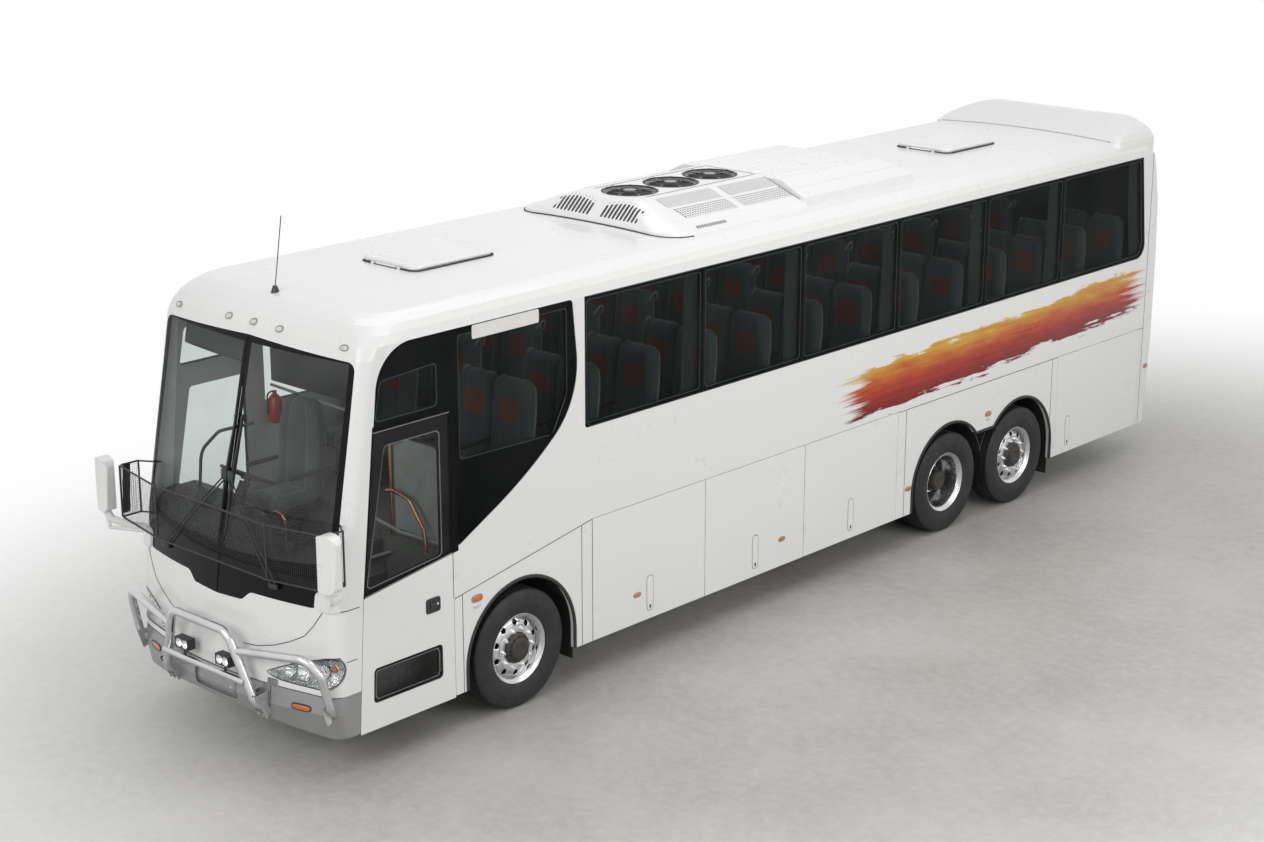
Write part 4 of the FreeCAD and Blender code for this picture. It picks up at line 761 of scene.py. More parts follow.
# One sector of a wheel disc with its hand hole: loops run from the hole's wall out to the
# sector's edge, which is made of two radii and two arcs; the height follows the dish.
def discSector(wheelFace, inner, outer, thick):
    half = math.pi / wheel["handHoles"]
    share = np.arange(4) / 4
    swing = np.concatenate([np.ones(4), 1 - share, -share, -np.ones(4), -np.ones(4), share - 1, share,
                            np.ones(4)])
    middle = wheel["holeAt"]
    rise = np.concatenate([middle + (outer - middle) * share, np.full(8, outer),
                           outer + (middle - outer) * share, middle + (inner - middle) * share,
                           np.full(8, inner), inner + (middle - inner) * share])
    edge = np.stack([rise * np.sin(swing * half), rise * np.cos(swing * half)], -1)
    turn = np.linspace(0, 2 * math.pi, 32, endpoint=False)
    unitRing = np.stack([np.cos(turn), np.sin(turn)], -1)
    loops, heights = [], []
    for grow, low in ((0.0, 0.006), (0.001, 0.002), (0.004, 0.0)):
        loops.append((0, middle) + (wheel["holeR"] + grow) * unitRing)
        heights.append(low)
    for part in (0.25, 0.5, 0.75, 1.0):
        loops.append(loops[2] + (edge - loops[2]) * part)
        heights.append(0.0)
    loops = np.array(loops)
    radius = np.hypot(loops[..., 0], loops[..., 1])
    front = np.interp(radius, *wheelFace) - np.array(heights)[:, None]
    faceUp = np.stack([front, -loops[..., 0], loops[..., 1]], -1)
    faceBack = faceUp - (thick, 0, 0)
    return gridShape(np.concatenate([faceUp[::-1], faceBack]), closeCols=True)


def discShape(wheelFace, inner, outer, thick):
    sector = discSector(wheelFace, inner, outer, thick)
    ring = ringOf(sector, wheel["handHoles"], "x", (0, 0, 0))
    edges = []
    for radius in (inner, outer):
        front = float(np.interp(radius, *wheelFace))
        edges.append(turnedShape([(front, radius), (front - thick, radius)], (0, 0, 0), (1, 0, 0), 80))
    return joinShapes(ring, *edges)


# Six flats on a nut: between its washer and its stud every second point stands a little further out.
def nutWave(profile, angle):
    onFlats = (profile[:, 1] > 0.012) & (profile[:, 1] < 0.02)
    return np.where(onFlats[:, None], 0.0012 * (np.arange(len(angle)) % 2 == 0)[None], 0)


def nutRing(face):
    steps = [(0, 0), (0, 0.021), (0.004, 0.021), (0.004, 0.0165), (0.019, 0.0165), (0.023, 0.013),
             (0.023, 0.008), (0.036, 0.008), (0.038, 0.006), (0.038, 0)]
    nut = turnedShape(steps, (face, 0, 0), (1, 0, 0), 12, wave=nutWave)
    return ringOf(moved(nut, (0, 0, wheel["nutAt"])), wheel["nuts"], "x", (0, 0, 0), 18.0)


# The whole rim in metal: its barrel with both lips, the disc, a raised flange and nuts.
def rimShape(face):
    barrel = [(0.108, 0.302), (0.118, 0.3062), (0.1228, 0.306), (0.1245, 0.3038), (0.1232, 0.3012),
              (0.1185, 0.2985), (0.114, 0.289), (0.107, 0.279), (0.097, 0.27), (0.084, 0.2645),
              (face - 0.03, 0.262), (-0.097, 0.264), (-0.107, 0.279), (-0.1185, 0.2985), (-0.1245, 0.3038),
              (-0.118, 0.3062), (-0.108, 0.302), (-0.09, 0.272), (0.09, 0.272)]
    dish = (np.array([0.05, 0.2, 0.208, 0.236, 0.2615]), face - np.array([0.0, 0.0, 0.003, 0.009, 0.028]))
    flange = [(face - 0.004, 0.199), (face + 0.006, 0.198), (face + 0.011, 0.194), (face + 0.012, 0.186),
              (face + 0.0125, 0.16), (face + 0.012, 0.146), (face + 0.01, 0.136), (face - 0.004, 0.134)]
    backPlate = [(face - 0.026, 0.19), (face - 0.004, 0.198), (face - 0.004, 0.062), (face - 0.026, 0.062)]
    return [
        (turnedShape(barrel, (0, 0, 0), (1, 0, 0), 96, closed=True), polishedAlloy),
        (discShape(dish, 0.19, 0.2615, 0.014), polishedAlloy),
        (turnedShape(flange, (0, 0, 0), (1, 0, 0), 72, closed=True), brushedAlloy),
        (turnedShape(backPlate, (0, 0, 0), (1, 0, 0), 48, closed=True), castIron),
        (nutRing(face + 0.0115), chrome),
    ]


# A stepped greasy hub with a bolted cap.
def hubShape(face, reach):
    steps = [(face, 0), (face, 0.134), (face + 0.014, 0.134), (face + 0.018, 0.128),
             (face + reach * 0.55, 0.122), (face + reach * 0.6, 0.118), (face + reach * 0.62, 0.105),
             (face + reach * 0.9, 0.1), (face + reach, 0.086), (face + reach, 0.05),
             (face + reach * 0.97, 0.045), (face + reach * 0.97, 0)]
    bolt = turnedShape([(0, 0), (0, 0.0085), (0.007, 0.0085), (0.008, 0.006), (0.008, 0)], (0, 0, 0.113),
                       (1, 0, 0), 6)
    bolts = moved(ringOf(bolt, 12, "x", (0, 0, 0)), (face + reach * 0.6, 0, 0))
    return [(turnedShape(steps, (0, 0, 0), (1, 0, 0), 64), hubGrease), (bolts, castIron)]


def placeWheel(parts, y, side, inward=0.0):
    centre = (wheel["x"] - inward, y, wheel["z"])
    return onSide([(moved(shape, centre), material) for shape, material in parts], side)


sides = (("left", 1), ("right", -1))
tyre = turnedShape(tyreProfile, (0, 0, 0), (1, 0, 0), 3 * wheel["lugs"], wave=treadWave, closed=True)
valve = rodShape((0.1, 0, 0.236), (0.135, 0, 0.252), 0.004, 8)
for word, side in sides:
    for kind in ("front", "tag"):
        y = middleOf("%s_rim_%s" % (kind, word))[1]
        body = "%s_wheel_%s" % (kind, word)
        addPiece("%sTyre_%s" % (kind, word), placeWheel([(tyre, tyreRubber)], y, side), body,
                 ["%s_tyre_%s" % (kind, word)], sharp=30)
        metal = rimShape(0.084) + hubShape(0.09, 0.058) + [(valve, blackMetal)]
        addPiece("%sRim_%s" % (kind, word), placeWheel(metal, y, side), body,
                 ["%s_rim_%s" % (kind, word)], sharp=34)
    y = middleOf("drive_rim_" + word)[1]
    body = "drive_wheels_" + word
    outerTyre = placeWheel([(tyre, tyreRubber)], y, side)
    pair = outerTyre + placeWheel([(tyre, tyreRubber)], y, side, wheel["twin"])
    addPiece("driveTyres_" + word, pair, body, ["drive_tyres_" + word], sharp=30)
    metal = rimShape(-0.145) + hubShape(-0.14, 0.2) + [(moved(valve, (-0.03, 0, 0)), blackMetal)]
    link = turnedShape([(0.1, 0.264), (0.23, 0.264), (0.23, 0.25), (0.1, 0.25)], (0, 0, 0), (1, 0, 0), 48,
                       closed=True)
    innerRim = rimShape(0.0)[:1] + [(link, castIron)]
    metal += [(moved(shape, (-wheel["twin"], 0, 0)), material) for shape, material in innerRim]
    addPiece("driveRims_" + word, placeWheel(metal, y, side), body, ["drive_rim_" + word],
             sharp=34)
print("stage: wheels made")


# The front's surface. Each row: height, set-back, bow, corner radius, narrowing of the sides.
noseRows = np.array([
    (0.35, 0.045, 0.19, 0.16, 0.0), (0.56, 0.0, 0.19, 0.16, 0.0), (0.74, 0.02, 0.188, 0.16, 0.0),
    (1.34, 0.075, 0.17, 0.15, 0.0), (1.7, 0.13, 0.165, 0.14, 0.0), (2.3, 0.268, 0.14, 0.13, 0.0),
    (2.9, 0.406, 0.12, 0.115, 0.0), (3.33, 0.505, 0.1, 0.115, 0.0), (3.423, 0.549, 0.098, 0.15, 0.0),
    (3.5, 0.609, 0.095, 0.205, 0.015), (3.56, 0.676, 0.09, 0.265, 0.052), (3.6, 0.739, 0.085, 0.32, 0.101)])
noseY = -6.07
bowSpan = 1.18


# A point of the front by its distance s round the plan from the middle line, its height, and
# how far out of the surface it stands: a wide arc, then the corner's arc, then straight back.
def nosePoint(s, z, out=0.0):
    s, z, out = alike(s, z, out)
    back, bow, corner, narrow = (np.interp(z, noseRows[:, 0], noseRows[:, i]) for i in (1, 2, 3, 4))
    side, s = np.sign(s), np.abs(s)
    big = (bowSpan ** 2 + bow ** 2) / (2 * bow)
    across = half - narrow - corner
    aim = np.arcsin(across / (big - corner))
    depth = big - (big - corner) * np.cos(aim)
    wide = np.minimum(s / big, aim)
    turn = aim + (s - aim * big) / corner
    tail = np.maximum(turn - math.pi / 2, 0) * corner
    turn = np.minimum(turn, math.pi / 2)
    onBow = s < aim * big
    x = np.where(onBow, (big + out) * np.sin(wide), across + (corner + out) * np.sin(turn))
    y = np.where(onBow, big - (big + out) * np.cos(wide), depth - (corner + out) * np.cos(turn)) + tail
    return np.stack([np.where(side < 0, -x, x), noseY + back + y, z], -1)


def sidePoint(y, z, out=0.0):
    y, z, out = alike(y, z, out)
    return np.stack([half + out, y, z], -1)


tailRows = np.array([(0.35, 0.06), (0.56, 0.045), (0.74, 0.04), (1.34, 0.0), (1.7, 0.0), (2.3, 0.0),
                     (2.9, 0.025), (3.33, 0.1), (3.423, 0.125)])
rearBow = 0.03
tailY = 6.22


# A point of the rear end by its distance across and its height: a shallow arc in plan.
def tailPoint(x, z, out=0.0):
    x, z, out = alike(x, z, out)
    big = (bowSpan ** 2 + rearBow ** 2) / (2 * rearBow)
    y = tailY - np.interp(z, tailRows[:, 0], tailRows[:, 1]) - (big - np.sqrt(big ** 2 - x ** 2)) + out
    return np.stack([x, y, z], -1)


# Points along a rounded outline, evenly spaced; flat corners in (a, b).
def evenLine(corners, radius, step, loop=False):
    corners = np.asarray(corners, float)
    flat = np.hstack([corners, np.zeros((len(corners), 1))])
    if loop:
        start = (flat[:1] + flat[-1:]) / 2
        flat = np.vstack([start, flat, start])
    route = roundRoute(flat, radius)[:, :2]
    lengths = np.concatenate([[0], np.cumsum(np.hypot(*np.diff(route, axis=0).T))])
    count = max(int(round(lengths[-1] / step)), 2)
    at = np.linspace(0, lengths[-1], count + 1)
    even = np.stack([np.interp(at, lengths, route[:, i]) for i in (0, 1)], -1)
    return even[:-1] if loop else even


# A flat strip of rubber or shadow laid along a line on a surface.
def surfaceStrip(place, corners, wide, high=0.0012, radius=0.02, step=0.05, loop=False):
    line = evenLine(corners, radius, step, loop)
    ahead = (np.roll(line, -1, 0) - np.roll(line, 1, 0)) if loop else np.gradient(line, axis=0)
    ahead /= np.linalg.norm(ahead, axis=1)[:, None]
    side = np.stack([-ahead[:, 1], ahead[:, 0]], -1) * wide / 2
    left, right = line + side, line - side
    rows = [place(*left.T, -0.002), place(*left.T, high), place(*right.T, high), place(*right.T, -0.002)]
    return gridShape(np.stack(rows, 1), closeRows=loop, closeCols=True, caps=not loop)


# A squared oval of unit half sizes: its reach is (|cos|^n + |sin|^n) to the power -1/n.
def squaredOval(square, count):
    turn = np.linspace(0, 2 * math.pi, count, endpoint=False)
    size = (np.abs(np.cos(turn)) ** square + np.abs(np.sin(turn)) ** square) ** (-1 / square)
    return size * np.cos(turn), size * np.sin(turn)


# A domed patch on a surface: loops of a squared oval that shrink as they rise.
def surfaceDome(place, a, b, halfA, halfB, high, square=4.0, count=32):
    across, up = squaredOval(square, count)
    share = np.array([1.0, 1.0, 0.97, 0.85, 0.6, 0.3, 0.0])
    rise = np.concatenate([[-0.002], high * (1 - 0.35 * share[1:] ** 4)])
    rise[1] = high * 0.45
    u = a + halfA * share[:, None] * across
    v = b + halfB * share[:, None] * up
    return gridShape(place(u, v, rise[:, None] + 0 * u), closeCols=True)


# A frame round such a patch.
def surfaceRing(place, a, b, halfA, halfB, wide, high, square=4.0, count=32):
    across, up = squaredOval(square, count)
    grow = np.array([0.0, 0.0, wide * 0.25, wide * 0.75, wide, wide])
    rise = np.array([-0.002, high * 0.8, high, high, high * 0.6, -0.002])
    u = a + (halfA + grow[:, None]) * across
    v = b + (halfB + grow[:, None]) * up
    return gridShape(place(u, v, rise[:, None] + 0 * u), closeRows=True, closeCols=True)


def bothOf(parts):
    return [(bothSides(shape), material) for shape, material in parts]


# Bull bar: smooth bent tubes with plates at their feet.
bullBar = {"tube": 0.0375, "cross": 0.03, "bend": 0.13, "sides": 24}
hoop = [(-0.573, -6.0, 0.51), (-0.573, -6.11, 0.56), (-0.352, -6.186, 1.137), (0.352, -6.186, 1.137),
        (0.573, -6.11, 0.56), (0.573, -6.0, 0.51)]
wing = [(0.44, -6.152, 0.985), (1.12, -6.03, 1.06), (1.215, -5.965, 0.93), (1.235, -5.89, 0.62),
        (1.2, -5.83, 0.56)]
hoopRoute = roundRoute(hoop, bullBar["bend"], 10)
wingRoute = roundRoute(wing, bullBar["bend"], 10)
foot = plateShape([(0.573, -6.15, 0.64), (0.573, -6.02, 0.66), (0.573, -5.99, 0.47), (0.573, -6.045, 0.43)],
                  (0.008, 0, 0))
wingFoot = plateShape([(1.19, -5.955, 0.66), (1.19, -5.86, 0.66), (1.19, -5.86, 0.5), (1.19, -5.9, 0.49)],
                      (0.008, 0, 0))
bars = [
    (tubeShape(hoopRoute, bullBar["tube"], bullBar["sides"]), polishedAlloy),
    (tubeShape([(-0.52, -6.158, 0.74), (0.52, -6.158, 0.74)], bullBar["cross"], bullBar["sides"]),
     polishedAlloy),
    (bothSides(tubeShape(wingRoute, bullBar["tube"] * 0.92, bullBar["sides"])), polishedAlloy),
    (bothSides(joinShapes(foot, moved(foot, (-0.06, 0, 0)), moved(foot, (0.045, 0, 0)), wingFoot)),
     brushedAlloy),
    (bothSides(rodShape((0.262, -6.15, 0.76), (0.262, -6.15, 0.83), 0.012)), blackMetal),
]
addPiece("bullBarTubes", bars, replaces=["bull_bar"], sharp=50)

# Driving lamps: a black housing with a deep bowl behind its glass.
driveLamp = {"x": 0.262, "low": (-6.185, 0.8183), "high": (-6.105, 0.908)}


def bowlShape(centre, radius, deep, direction=(0, -1, 0)):
    share = np.linspace(0.08, 1, 7)
    profile = np.stack([deep * (share ** 2 - 1), radius * share], -1)
    rim = [(0.0, radius), (0.003, radius + 0.002), (0.0, radius + 0.004), (-deep * 1.1, radius * 0.7),
           (-deep * 1.1, 0)]
    return turnedShape(np.vstack([[(-deep, 0)], profile, rim]), centre, direction, 24)


def bulbShape(centre, radius, direction=(0, -1, 0)):
    share = np.linspace(0, math.pi / 2, 5)
    profile = np.vstack([[(-radius, radius * 0.8)],
                         np.stack([radius * np.sin(share) * 1.3, radius * np.cos(share)], -1)])
    return turnedShape(profile, centre, direction, 16)


lampFront = driveLamp["low"][0]
lampMiddle = (driveLamp["low"][1] + driveLamp["high"][1]) / 2
bezel = evenLine([(-0.079, -0.0415), (0.079, -0.0415), (0.079, 0.0415), (-0.079, 0.0415)], 0.022, 0.008, True)
bezelRoute = np.stack([driveLamp["x"] + bezel[:, 0], np.full(len(bezel), lampFront + 0.006),
                       lampMiddle + bezel[:, 1]], -1)
driveParts = [(sweptShape(bezelRoute, circle(0.0055, 8), (0, 1, 0), loop=True), blackPlastic)]
for offset in (-0.038, 0.038):
    at = (driveLamp["x"] + offset, lampFront + 0.008, lampMiddle)
    driveParts.append((bowlShape(at, 0.035, 0.032), chrome))
    driveParts.append((bulbShape((at[0], at[1] + 0.022, at[2]), 0.007), paleLens))
addPiece("driveLampBowls", bothOf(driveParts))

# Headlamps: outline by distance round the plan and height, a dished bowl wall, and three units.
headlamp = {
    "lower": [(0.6, 0.806), (0.66, 0.787), (0.74, 0.772), (0.95, 0.767), (1.15, 0.762), (1.33, 0.757)],
    "upper": [(0.6, 0.818), (0.72, 0.872), (0.87, 0.934), (1.0, 0.978), (1.12, 1.009), (1.22, 1.026),
              (1.33, 1.035)],
    "deep": 0.085, "units": [(0.8, 0.838, 0.044), (0.94, 0.862, 0.066), (1.09, 0.882, 0.07)],
}
lowerEdge, upperEdge = np.array(headlamp["lower"]), np.array(headlamp["upper"])
along = np.linspace(0.6, 1.33, 48)
up = np.linspace(0, 1, 12)[:, None]
bowlZ = np.interp(along, *lowerEdge.T) * (1 - up) + np.interp(along, *upperEdge.T) * up
endFade = np.clip(np.minimum(along - 0.598, 1.332 - along) / 0.08, 0, 1) ** 0.5
bowlDeep = 0.01 + headlamp["deep"] * (1 - np.abs(2 * up - 1) ** 3) * endFade
bowlGrid = nosePoint(along[None] + 0 * bowlZ, bowlZ, -bowlDeep)
shellGrid = nosePoint(along[None] + 0 * bowlZ, bowlZ, -bowlDeep - 0.004)
lampEndPoints = [(1.12, 0.764), (1.19, 0.774), (1.26, 0.812), (1.31, 0.87), (1.325, 0.94), (1.3, 1.0)]
lampOutline = np.vstack([lowerEdge[:4], lampEndPoints, upperEdge[-2::-1]])
lampParts = [
    (gridShape(np.concatenate([bowlGrid, shellGrid[::-1]]), closeRows=True), lampBowl),
    (surfaceStrip(nosePoint, lampOutline, 0.007, 0.003, 0.04, 0.02, True), blackPlastic),
]
for s, z, radius in headlamp["units"]:
    at = nosePoint(s, z, -0.03)
    lampParts.append((bowlShape(at, radius, radius * 0.8), chrome))
    lampParts.append((bulbShape(at + (0, radius * 0.5, 0), 0.012), paleLens))
turnAt = nosePoint(1.235, 0.93, -0.035)
lampParts += [(bowlShape(turnAt, 0.03, 0.02, (0.6, -1, 0)), chrome),
              (bulbShape(turnAt, 0.018, (0.6, -1, 0)), amberLens)]
addPiece("headlampBowls", bothOf(lampParts))

# Small lamps on the front: amber ones in the bumper and clear markers above the windscreen.
bumperLamp = {"s": 0.95, "z": 0.59, "half": (0.085, 0.02)}
markerLamps = [(-1.03, 3.41), (-0.315, 3.444), (0.0, 3.449), (0.315, 3.444), (1.03, 3.41)]
smallParts = []
for sign in (-1, 1):
    at = (sign * bumperLamp["s"], bumperLamp["z"])
    smallParts.append((surfaceDome(nosePoint, *at, *bumperLamp["half"], 0.008), amberLens))
    smallParts.append((surfaceRing(nosePoint, *at, *bumperLamp["half"], 0.009, 0.007), blackPlastic))
for s, z in markerLamps:
    smallParts.append((surfaceDome(nosePoint, s, z, 0.034, 0.0155, 0.016, 2.2), paleLens))
    smallParts.append((surfaceRing(nosePoint, s, z, 0.034, 0.0155, 0.009, 0.01, 2.2), greyPlastic))
addPiece("frontMarkerLamps", smallParts)

# Seams of the front: bumper joints, the bonnet's line, the corner covers and the number plate.
frontSeams = [
    [(0.335, 0.984), (0.49, 0.998), (0.665, 1.041), (0.83, 1.105), (0.965, 1.176), (1.045, 1.269),
     (1.105, 1.36), (1.13, 1.405), (1.45, 1.405)],
    [(1.335, 0.985), (1.44, 0.985)],
    [(0.64, 0.7), (0.64, 0.56), (0.6, 0.42)],
]
frontSeamShapes = [surfaceStrip(nosePoint, line, 0.006, 0.0022, 0.05, 0.03) for line in frontSeams]
edgeS = np.linspace(-1.36, 1.36, 90)
bumperTopZ = np.interp(np.abs(edgeS), [0, 0.98, 1.36], [0.716, 0.715, 0.7])
bumperEdge = surfaceStrip(nosePoint, np.stack([edgeS, bumperTopZ], -1)[::3], 0.006, 0.002, 0.03)
plateLine = surfaceStrip(nosePoint, [(-0.262, 0.495), (0.262, 0.495), (0.262, 0.652), (-0.262, 0.652)],
                         0.006, 0.001, 0.01, 0.03, True)
plateZ = 0.5735
blankPlate = surfaceDome(lambda s, z, out: nosePoint(s, z, out - 0.0135), 0.0, plateZ, 0.225, 0.056, 0.004,
                         14.0, 48)
plateBolts = [surfaceDome(lambda s, z, out: nosePoint(s, z, out - 0.0095), s, plateZ, 0.006, 0.006, 0.003,
                          2.0, 8) for s in (-0.19, 0.19)]
fogger = (0.735, 0.05, 0.028)           # height and half sizes of the small openings in the bumper
foggerFrame, foggerMesh, foggerBack = [], [], []
for sign in (-1, 1):
    foggerFrame.append(surfaceRing(nosePoint, sign * 0.66, *fogger, 0.006, 0.004, 6.0))
    foggerBack.append(surfaceDome(nosePoint, sign * 0.66, *fogger, 0.0015, 6.0))
    for i in range(12):
        s = sign * (0.615 + 0.0085 * i)
        foggerMesh.append(surfaceStrip(nosePoint, [(s, 0.71), (s, 0.76)], 0.0028, 0.003, 0.01, 0.05))
addPiece("frontSeams", [(bothSides(joinShapes(*frontSeamShapes)), seamRubber), (bumperEdge, seamRubber),
                        (plateLine, seamRubber), (blankPlate, silverPaint),
                        (joinShapes(*plateBolts), chrome), (joinShapes(*foggerFrame), silverPaint),
                        (joinShapes(*foggerMesh), brushedAlloy), (joinShapes(*foggerBack), blackPlastic)],
         sharp=60)

# Stone guard: thin rails on posts, with woven wire between them across the front and the wings.
guard = {"rail": 0.0085, "wire": 0.0011, "pitch": 0.021, "wing": 1.3, "top": 2.085, "low": 1.64}
guardHalf = [(guard["wing"], -5.762), (guard["wing"], -5.95), (0.7, -6.035)]
guardTop = guardHalf + [(-x, y) for x, y in guardHalf[::-1]]


def guardRoute(z, drop):
    plan = evenLine(guardTop, 0.03, guard["pitch"])
    inFront = np.clip((guard["wing"] - np.abs(plan[:, 0])) / 0.6, 0, 1)
    return np.column_stack([plan, z - drop * inFront])


railTop, railLow = guardRoute(guard["top"], 0.025), guardRoute(guard["low"], 0.025)
rungs = np.linspace(0, 1, int((guard["top"] - guard["low"]) / guard["pitch"]) + 1)[1:-1]
meshRows = [tubeShape(railLow + (railTop - railLow) * share, guard["wire"], 4, normal=(0, 0, 1))
            for share in rungs]
wireUp = np.stack([railLow, railTop], 1)[1:-1]
wireSection = np.array([(-1, -1, 0), (1, -1, 0), (1, 1, 0), (-1, 1, 0)]) * guard["wire"] * 0.75
upPoints = wireUp[:, :, None, :] + wireSection[None, None]
upBase = np.arange(len(upPoints))[:, None, None] * 8
upFaces = (gridFaces(2, 4, closeCols=True)[None] + upBase).reshape(-1, 4)
meshUp = (upPoints.reshape(-1, 3), [upFaces])
endPosts = [rodShape((x, y, guard["low"]), (x, y, guard["top"]), 0.008) for x, y in guardTop]
stays = [rodShape((1.13, -5.66, z), (1.3, -5.77, z), 0.0075) for z in (guard["low"], guard["top"])]
addPiece("stoneGuardWire", [
    (tubeShape(railTop, guard["rail"], 10, normal=(0, 0, 1)), blackMetal),
    (tubeShape(railLow, guard["rail"], 10, normal=(0, 0, 1)), blackMetal),
    (joinShapes(*meshRows, meshUp, *endPosts, bothSides(joinShapes(*stays))), blackMetal)],
    replaces=["stone_guard"], sharp=40)

# Wipers: twin thin arms from a boss up to a hinged carrier, and a long blade in its clips.
wiper = {"pivots": [(-0.752, -0.02), (0.649, 0.06)], "pivotZ": 1.52, "elbowZ": 2.27, "low": 1.8, "top": 2.75}
wiperParts = []
for pivotX, bladeX in wiper["pivots"]:
    base = nosePoint(pivotX, wiper["pivotZ"], 0.02)
    elbow = nosePoint(bladeX + 0.01, wiper["elbowZ"], 0.048)
    for gap in (-0.028, 0.028):
        start = nosePoint(pivotX + gap, wiper["pivotZ"] + 0.02, 0.03)
        end = nosePoint(bladeX + 0.01 + gap * 0.7, wiper["elbowZ"] - 0.03, 0.05)
        bowed = start * 0.5 + end * 0.5 + (0, -0.012, 0)
        wiperParts.append((bentTube([start, bowed, end], 0.3, 0.0065, 8), blackMetal))
    wiperParts.append((boxAt(base, (0.05, 0.016, 0.022), 0.01), blackPlastic))
    wiperParts.append((boxAt(elbow, (0.035, 0.01, 0.045), 0.008), blackPlastic))
    heights = np.linspace(wiper["low"], wiper["top"], 24)
    reachX = bladeX + 0.02 * (heights - wiper["low"]) / (wiper["top"] - wiper["low"])
    blade = nosePoint(reachX, heights, 0.012)
    spine = nosePoint(reachX, heights, 0.02 + 0.016 * np.cos((heights - wiper["elbowZ"]) * 3.0) ** 2)
    wiperParts.append((sweptShape(blade, boxProfile(0.005, 0.02), (0, -1, 0)), seamRubber))
    wiperParts.append((sweptShape(spine, boxProfile(0.016, 0.007), (0, -1, 0)), blackMetal))
    for z in (1.83, 2.02, 2.5, 2.72):
        clip = nosePoint(float(np.interp(z, heights, reachX)), z, 0.018)
        wiperParts.append((boxAt(clip, (0.009, 0.013, 0.014), 0.004), blackPlastic))
addPiece("wiperArms", wiperParts, replaces=["wipers"], sharp=40)

# Mirrors: a silvered glass in a dark rim on each head, a painted bracket with a black joint, a painted foot.
mirror = {"x": (1.36, 1.51), "z": (1.74, 2.13), "y": -5.9735}
faceRoute = evenLine([(mirror["x"][0], mirror["z"][0]), (mirror["x"][1], mirror["z"][0]),
                      (mirror["x"][1], mirror["z"][1]), (mirror["x"][0], mirror["z"][1])], 0.035, 0.012, True)
rim = np.column_stack([faceRoute[:, 0], np.full(len(faceRoute), mirror["y"]), faceRoute[:, 1]])
glassMiddle = rim.mean(0)
glassRows = np.stack([glassMiddle + (rim - glassMiddle) * share + (0, back, 0)
                      for share, back in ((1, 0), (1, 0.003), (0.5, 0.0045), (0.02, 0.005))])
bracket = roundRoute([(1.43, -6.03, 1.71), (1.4, -5.99, 1.61), (1.29, -5.86, 1.54), (1.17, -5.715, 1.51)],
                     0.06)
mirrorParts = [
    (gridShape(glassRows, closeCols=True), mirrorSilver),
    (sweptShape(rim, circle(0.006, 8), (0, 1, 0), loop=True), blackPlastic),
    (sweptShape(bracket, circle(0.028, 12) * (1.0, 1.2), (0, 0, 1)), whitePaint),
    (rodShape((1.43, -6.03, 1.745), (1.425, -6.022, 1.69), 0.034), blackPlastic),
    (surfaceDome(nosePoint, 1.17, 1.48, 0.115, 0.08, 0.035, 5.0), whitePaint),
    (plateShape([(1.318, -5.93, 1.66), (1.318, -5.86, 1.66), (1.318, -5.83, 2.07), (1.318, -5.9, 2.09)],
                (0.006, 0, 0)), blackMetal),
]
addPiece("mirrorGlasses", bothOf(mirrorParts))
print("stage: front fittings made")


# Side seams, by place along the coach and height.
sideSeams = {
    "both": [
        [(-4.585, 1.19), (-2.98, 1.462)], [(-2.98, 1.462), (-2.98, 0.352)], [(-3.11, 1.438), (-3.11, 0.352)],
        [(-4.5, 1.2), (-4.5, 0.352)], [(1.384, 1.462), (4.23, 1.462)], [(5.893, 1.462), (5.95, 1.462)],
        [(1.51, 1.462), (1.51, 0.352)], [(4.12, 1.462), (4.12, 0.352)],
        [(5.952, 3.44), (5.952, 0.352)],
    ],
    "paneEdges": [-1.56, -0.16, 1.31, 2.79, 4.18],
    "wide": 0.007,
}
shownSeams = [surfaceStrip(sidePoint, line, sideSeams["wide"], 0.0005, 0.01, 0.2)
              for line in sideSeams["both"]]
leftSeams = joinShapes(*shownSeams, surfaceStrip(sidePoint, [(-4.595, 1.58), (-4.595, 1.2)], 0.005, 0.0005))
rightSeams = joinShapes(*shownSeams,
                        surfaceStrip(sidePoint, [(-4.595, 1.58), (-4.595, 0.352)], 0.005, 0.0005),
                        surfaceStrip(sidePoint, [(-5.53, 1.462), (-5.5, 0.352)], 0.005, 0.0005, 0.01, 0.2))
paneJoints = joinShapes(*[surfaceStrip(sidePoint, [(y, 2.292), (y, 3.415)], 0.02, 0.0006, 0.01, 0.3)
                          for y in sideSeams["paneEdges"]])
bandLine = [(-3.056, 2.292), (5.72, 2.292), (5.8, 2.312), (5.845, 2.36), (5.861, 2.45), (5.733, 3.415),
            (-3.056, 3.415)]
bandRubber = surfaceStrip(sidePoint, bandLine, 0.007, 0.0008, 0.05, 0.1, True)
addPiece("sideSeams", [(joinShapes(leftSeams, mirrored(rightSeams)), seamRubber),
                       (bothSides(paneJoints), blackTrim), (bothSides(bandRubber), seamRubber)], sharp=60)

# Pale edges of the glazing frames seen through the dark panes.
glazing = {"wide": 0.011, "at": 1.2405}
paneEnds = [-3.06] + sideSeams["paneEdges"]
frames = []
for first, last in zip(paneEnds, paneEnds[1:]):
    y0, y1 = first + 0.031, last - 0.031
    frames.append([(y0, 2.323), (y1, 2.323), (y1, 3.384), (y0, 3.384)])
frames.append([(4.211, 2.323), (5.72, 2.323), (5.79, 2.36), (5.818, 2.45), (5.7, 3.384), (4.211, 3.384)])
frames.append([(-4.489, 2.34), (-3.44, 2.315), (-3.263, 2.64), (-3.263, 3.362), (-4.489, 3.362)])
frames.append([(-5.362, 2.838), (-5.298, 3.153), (-4.717, 3.188), (-4.717, 2.838)])


def behindGlass(y, z, out=0.0):
    return sidePoint(y, z, out - (half - glazing["at"]))


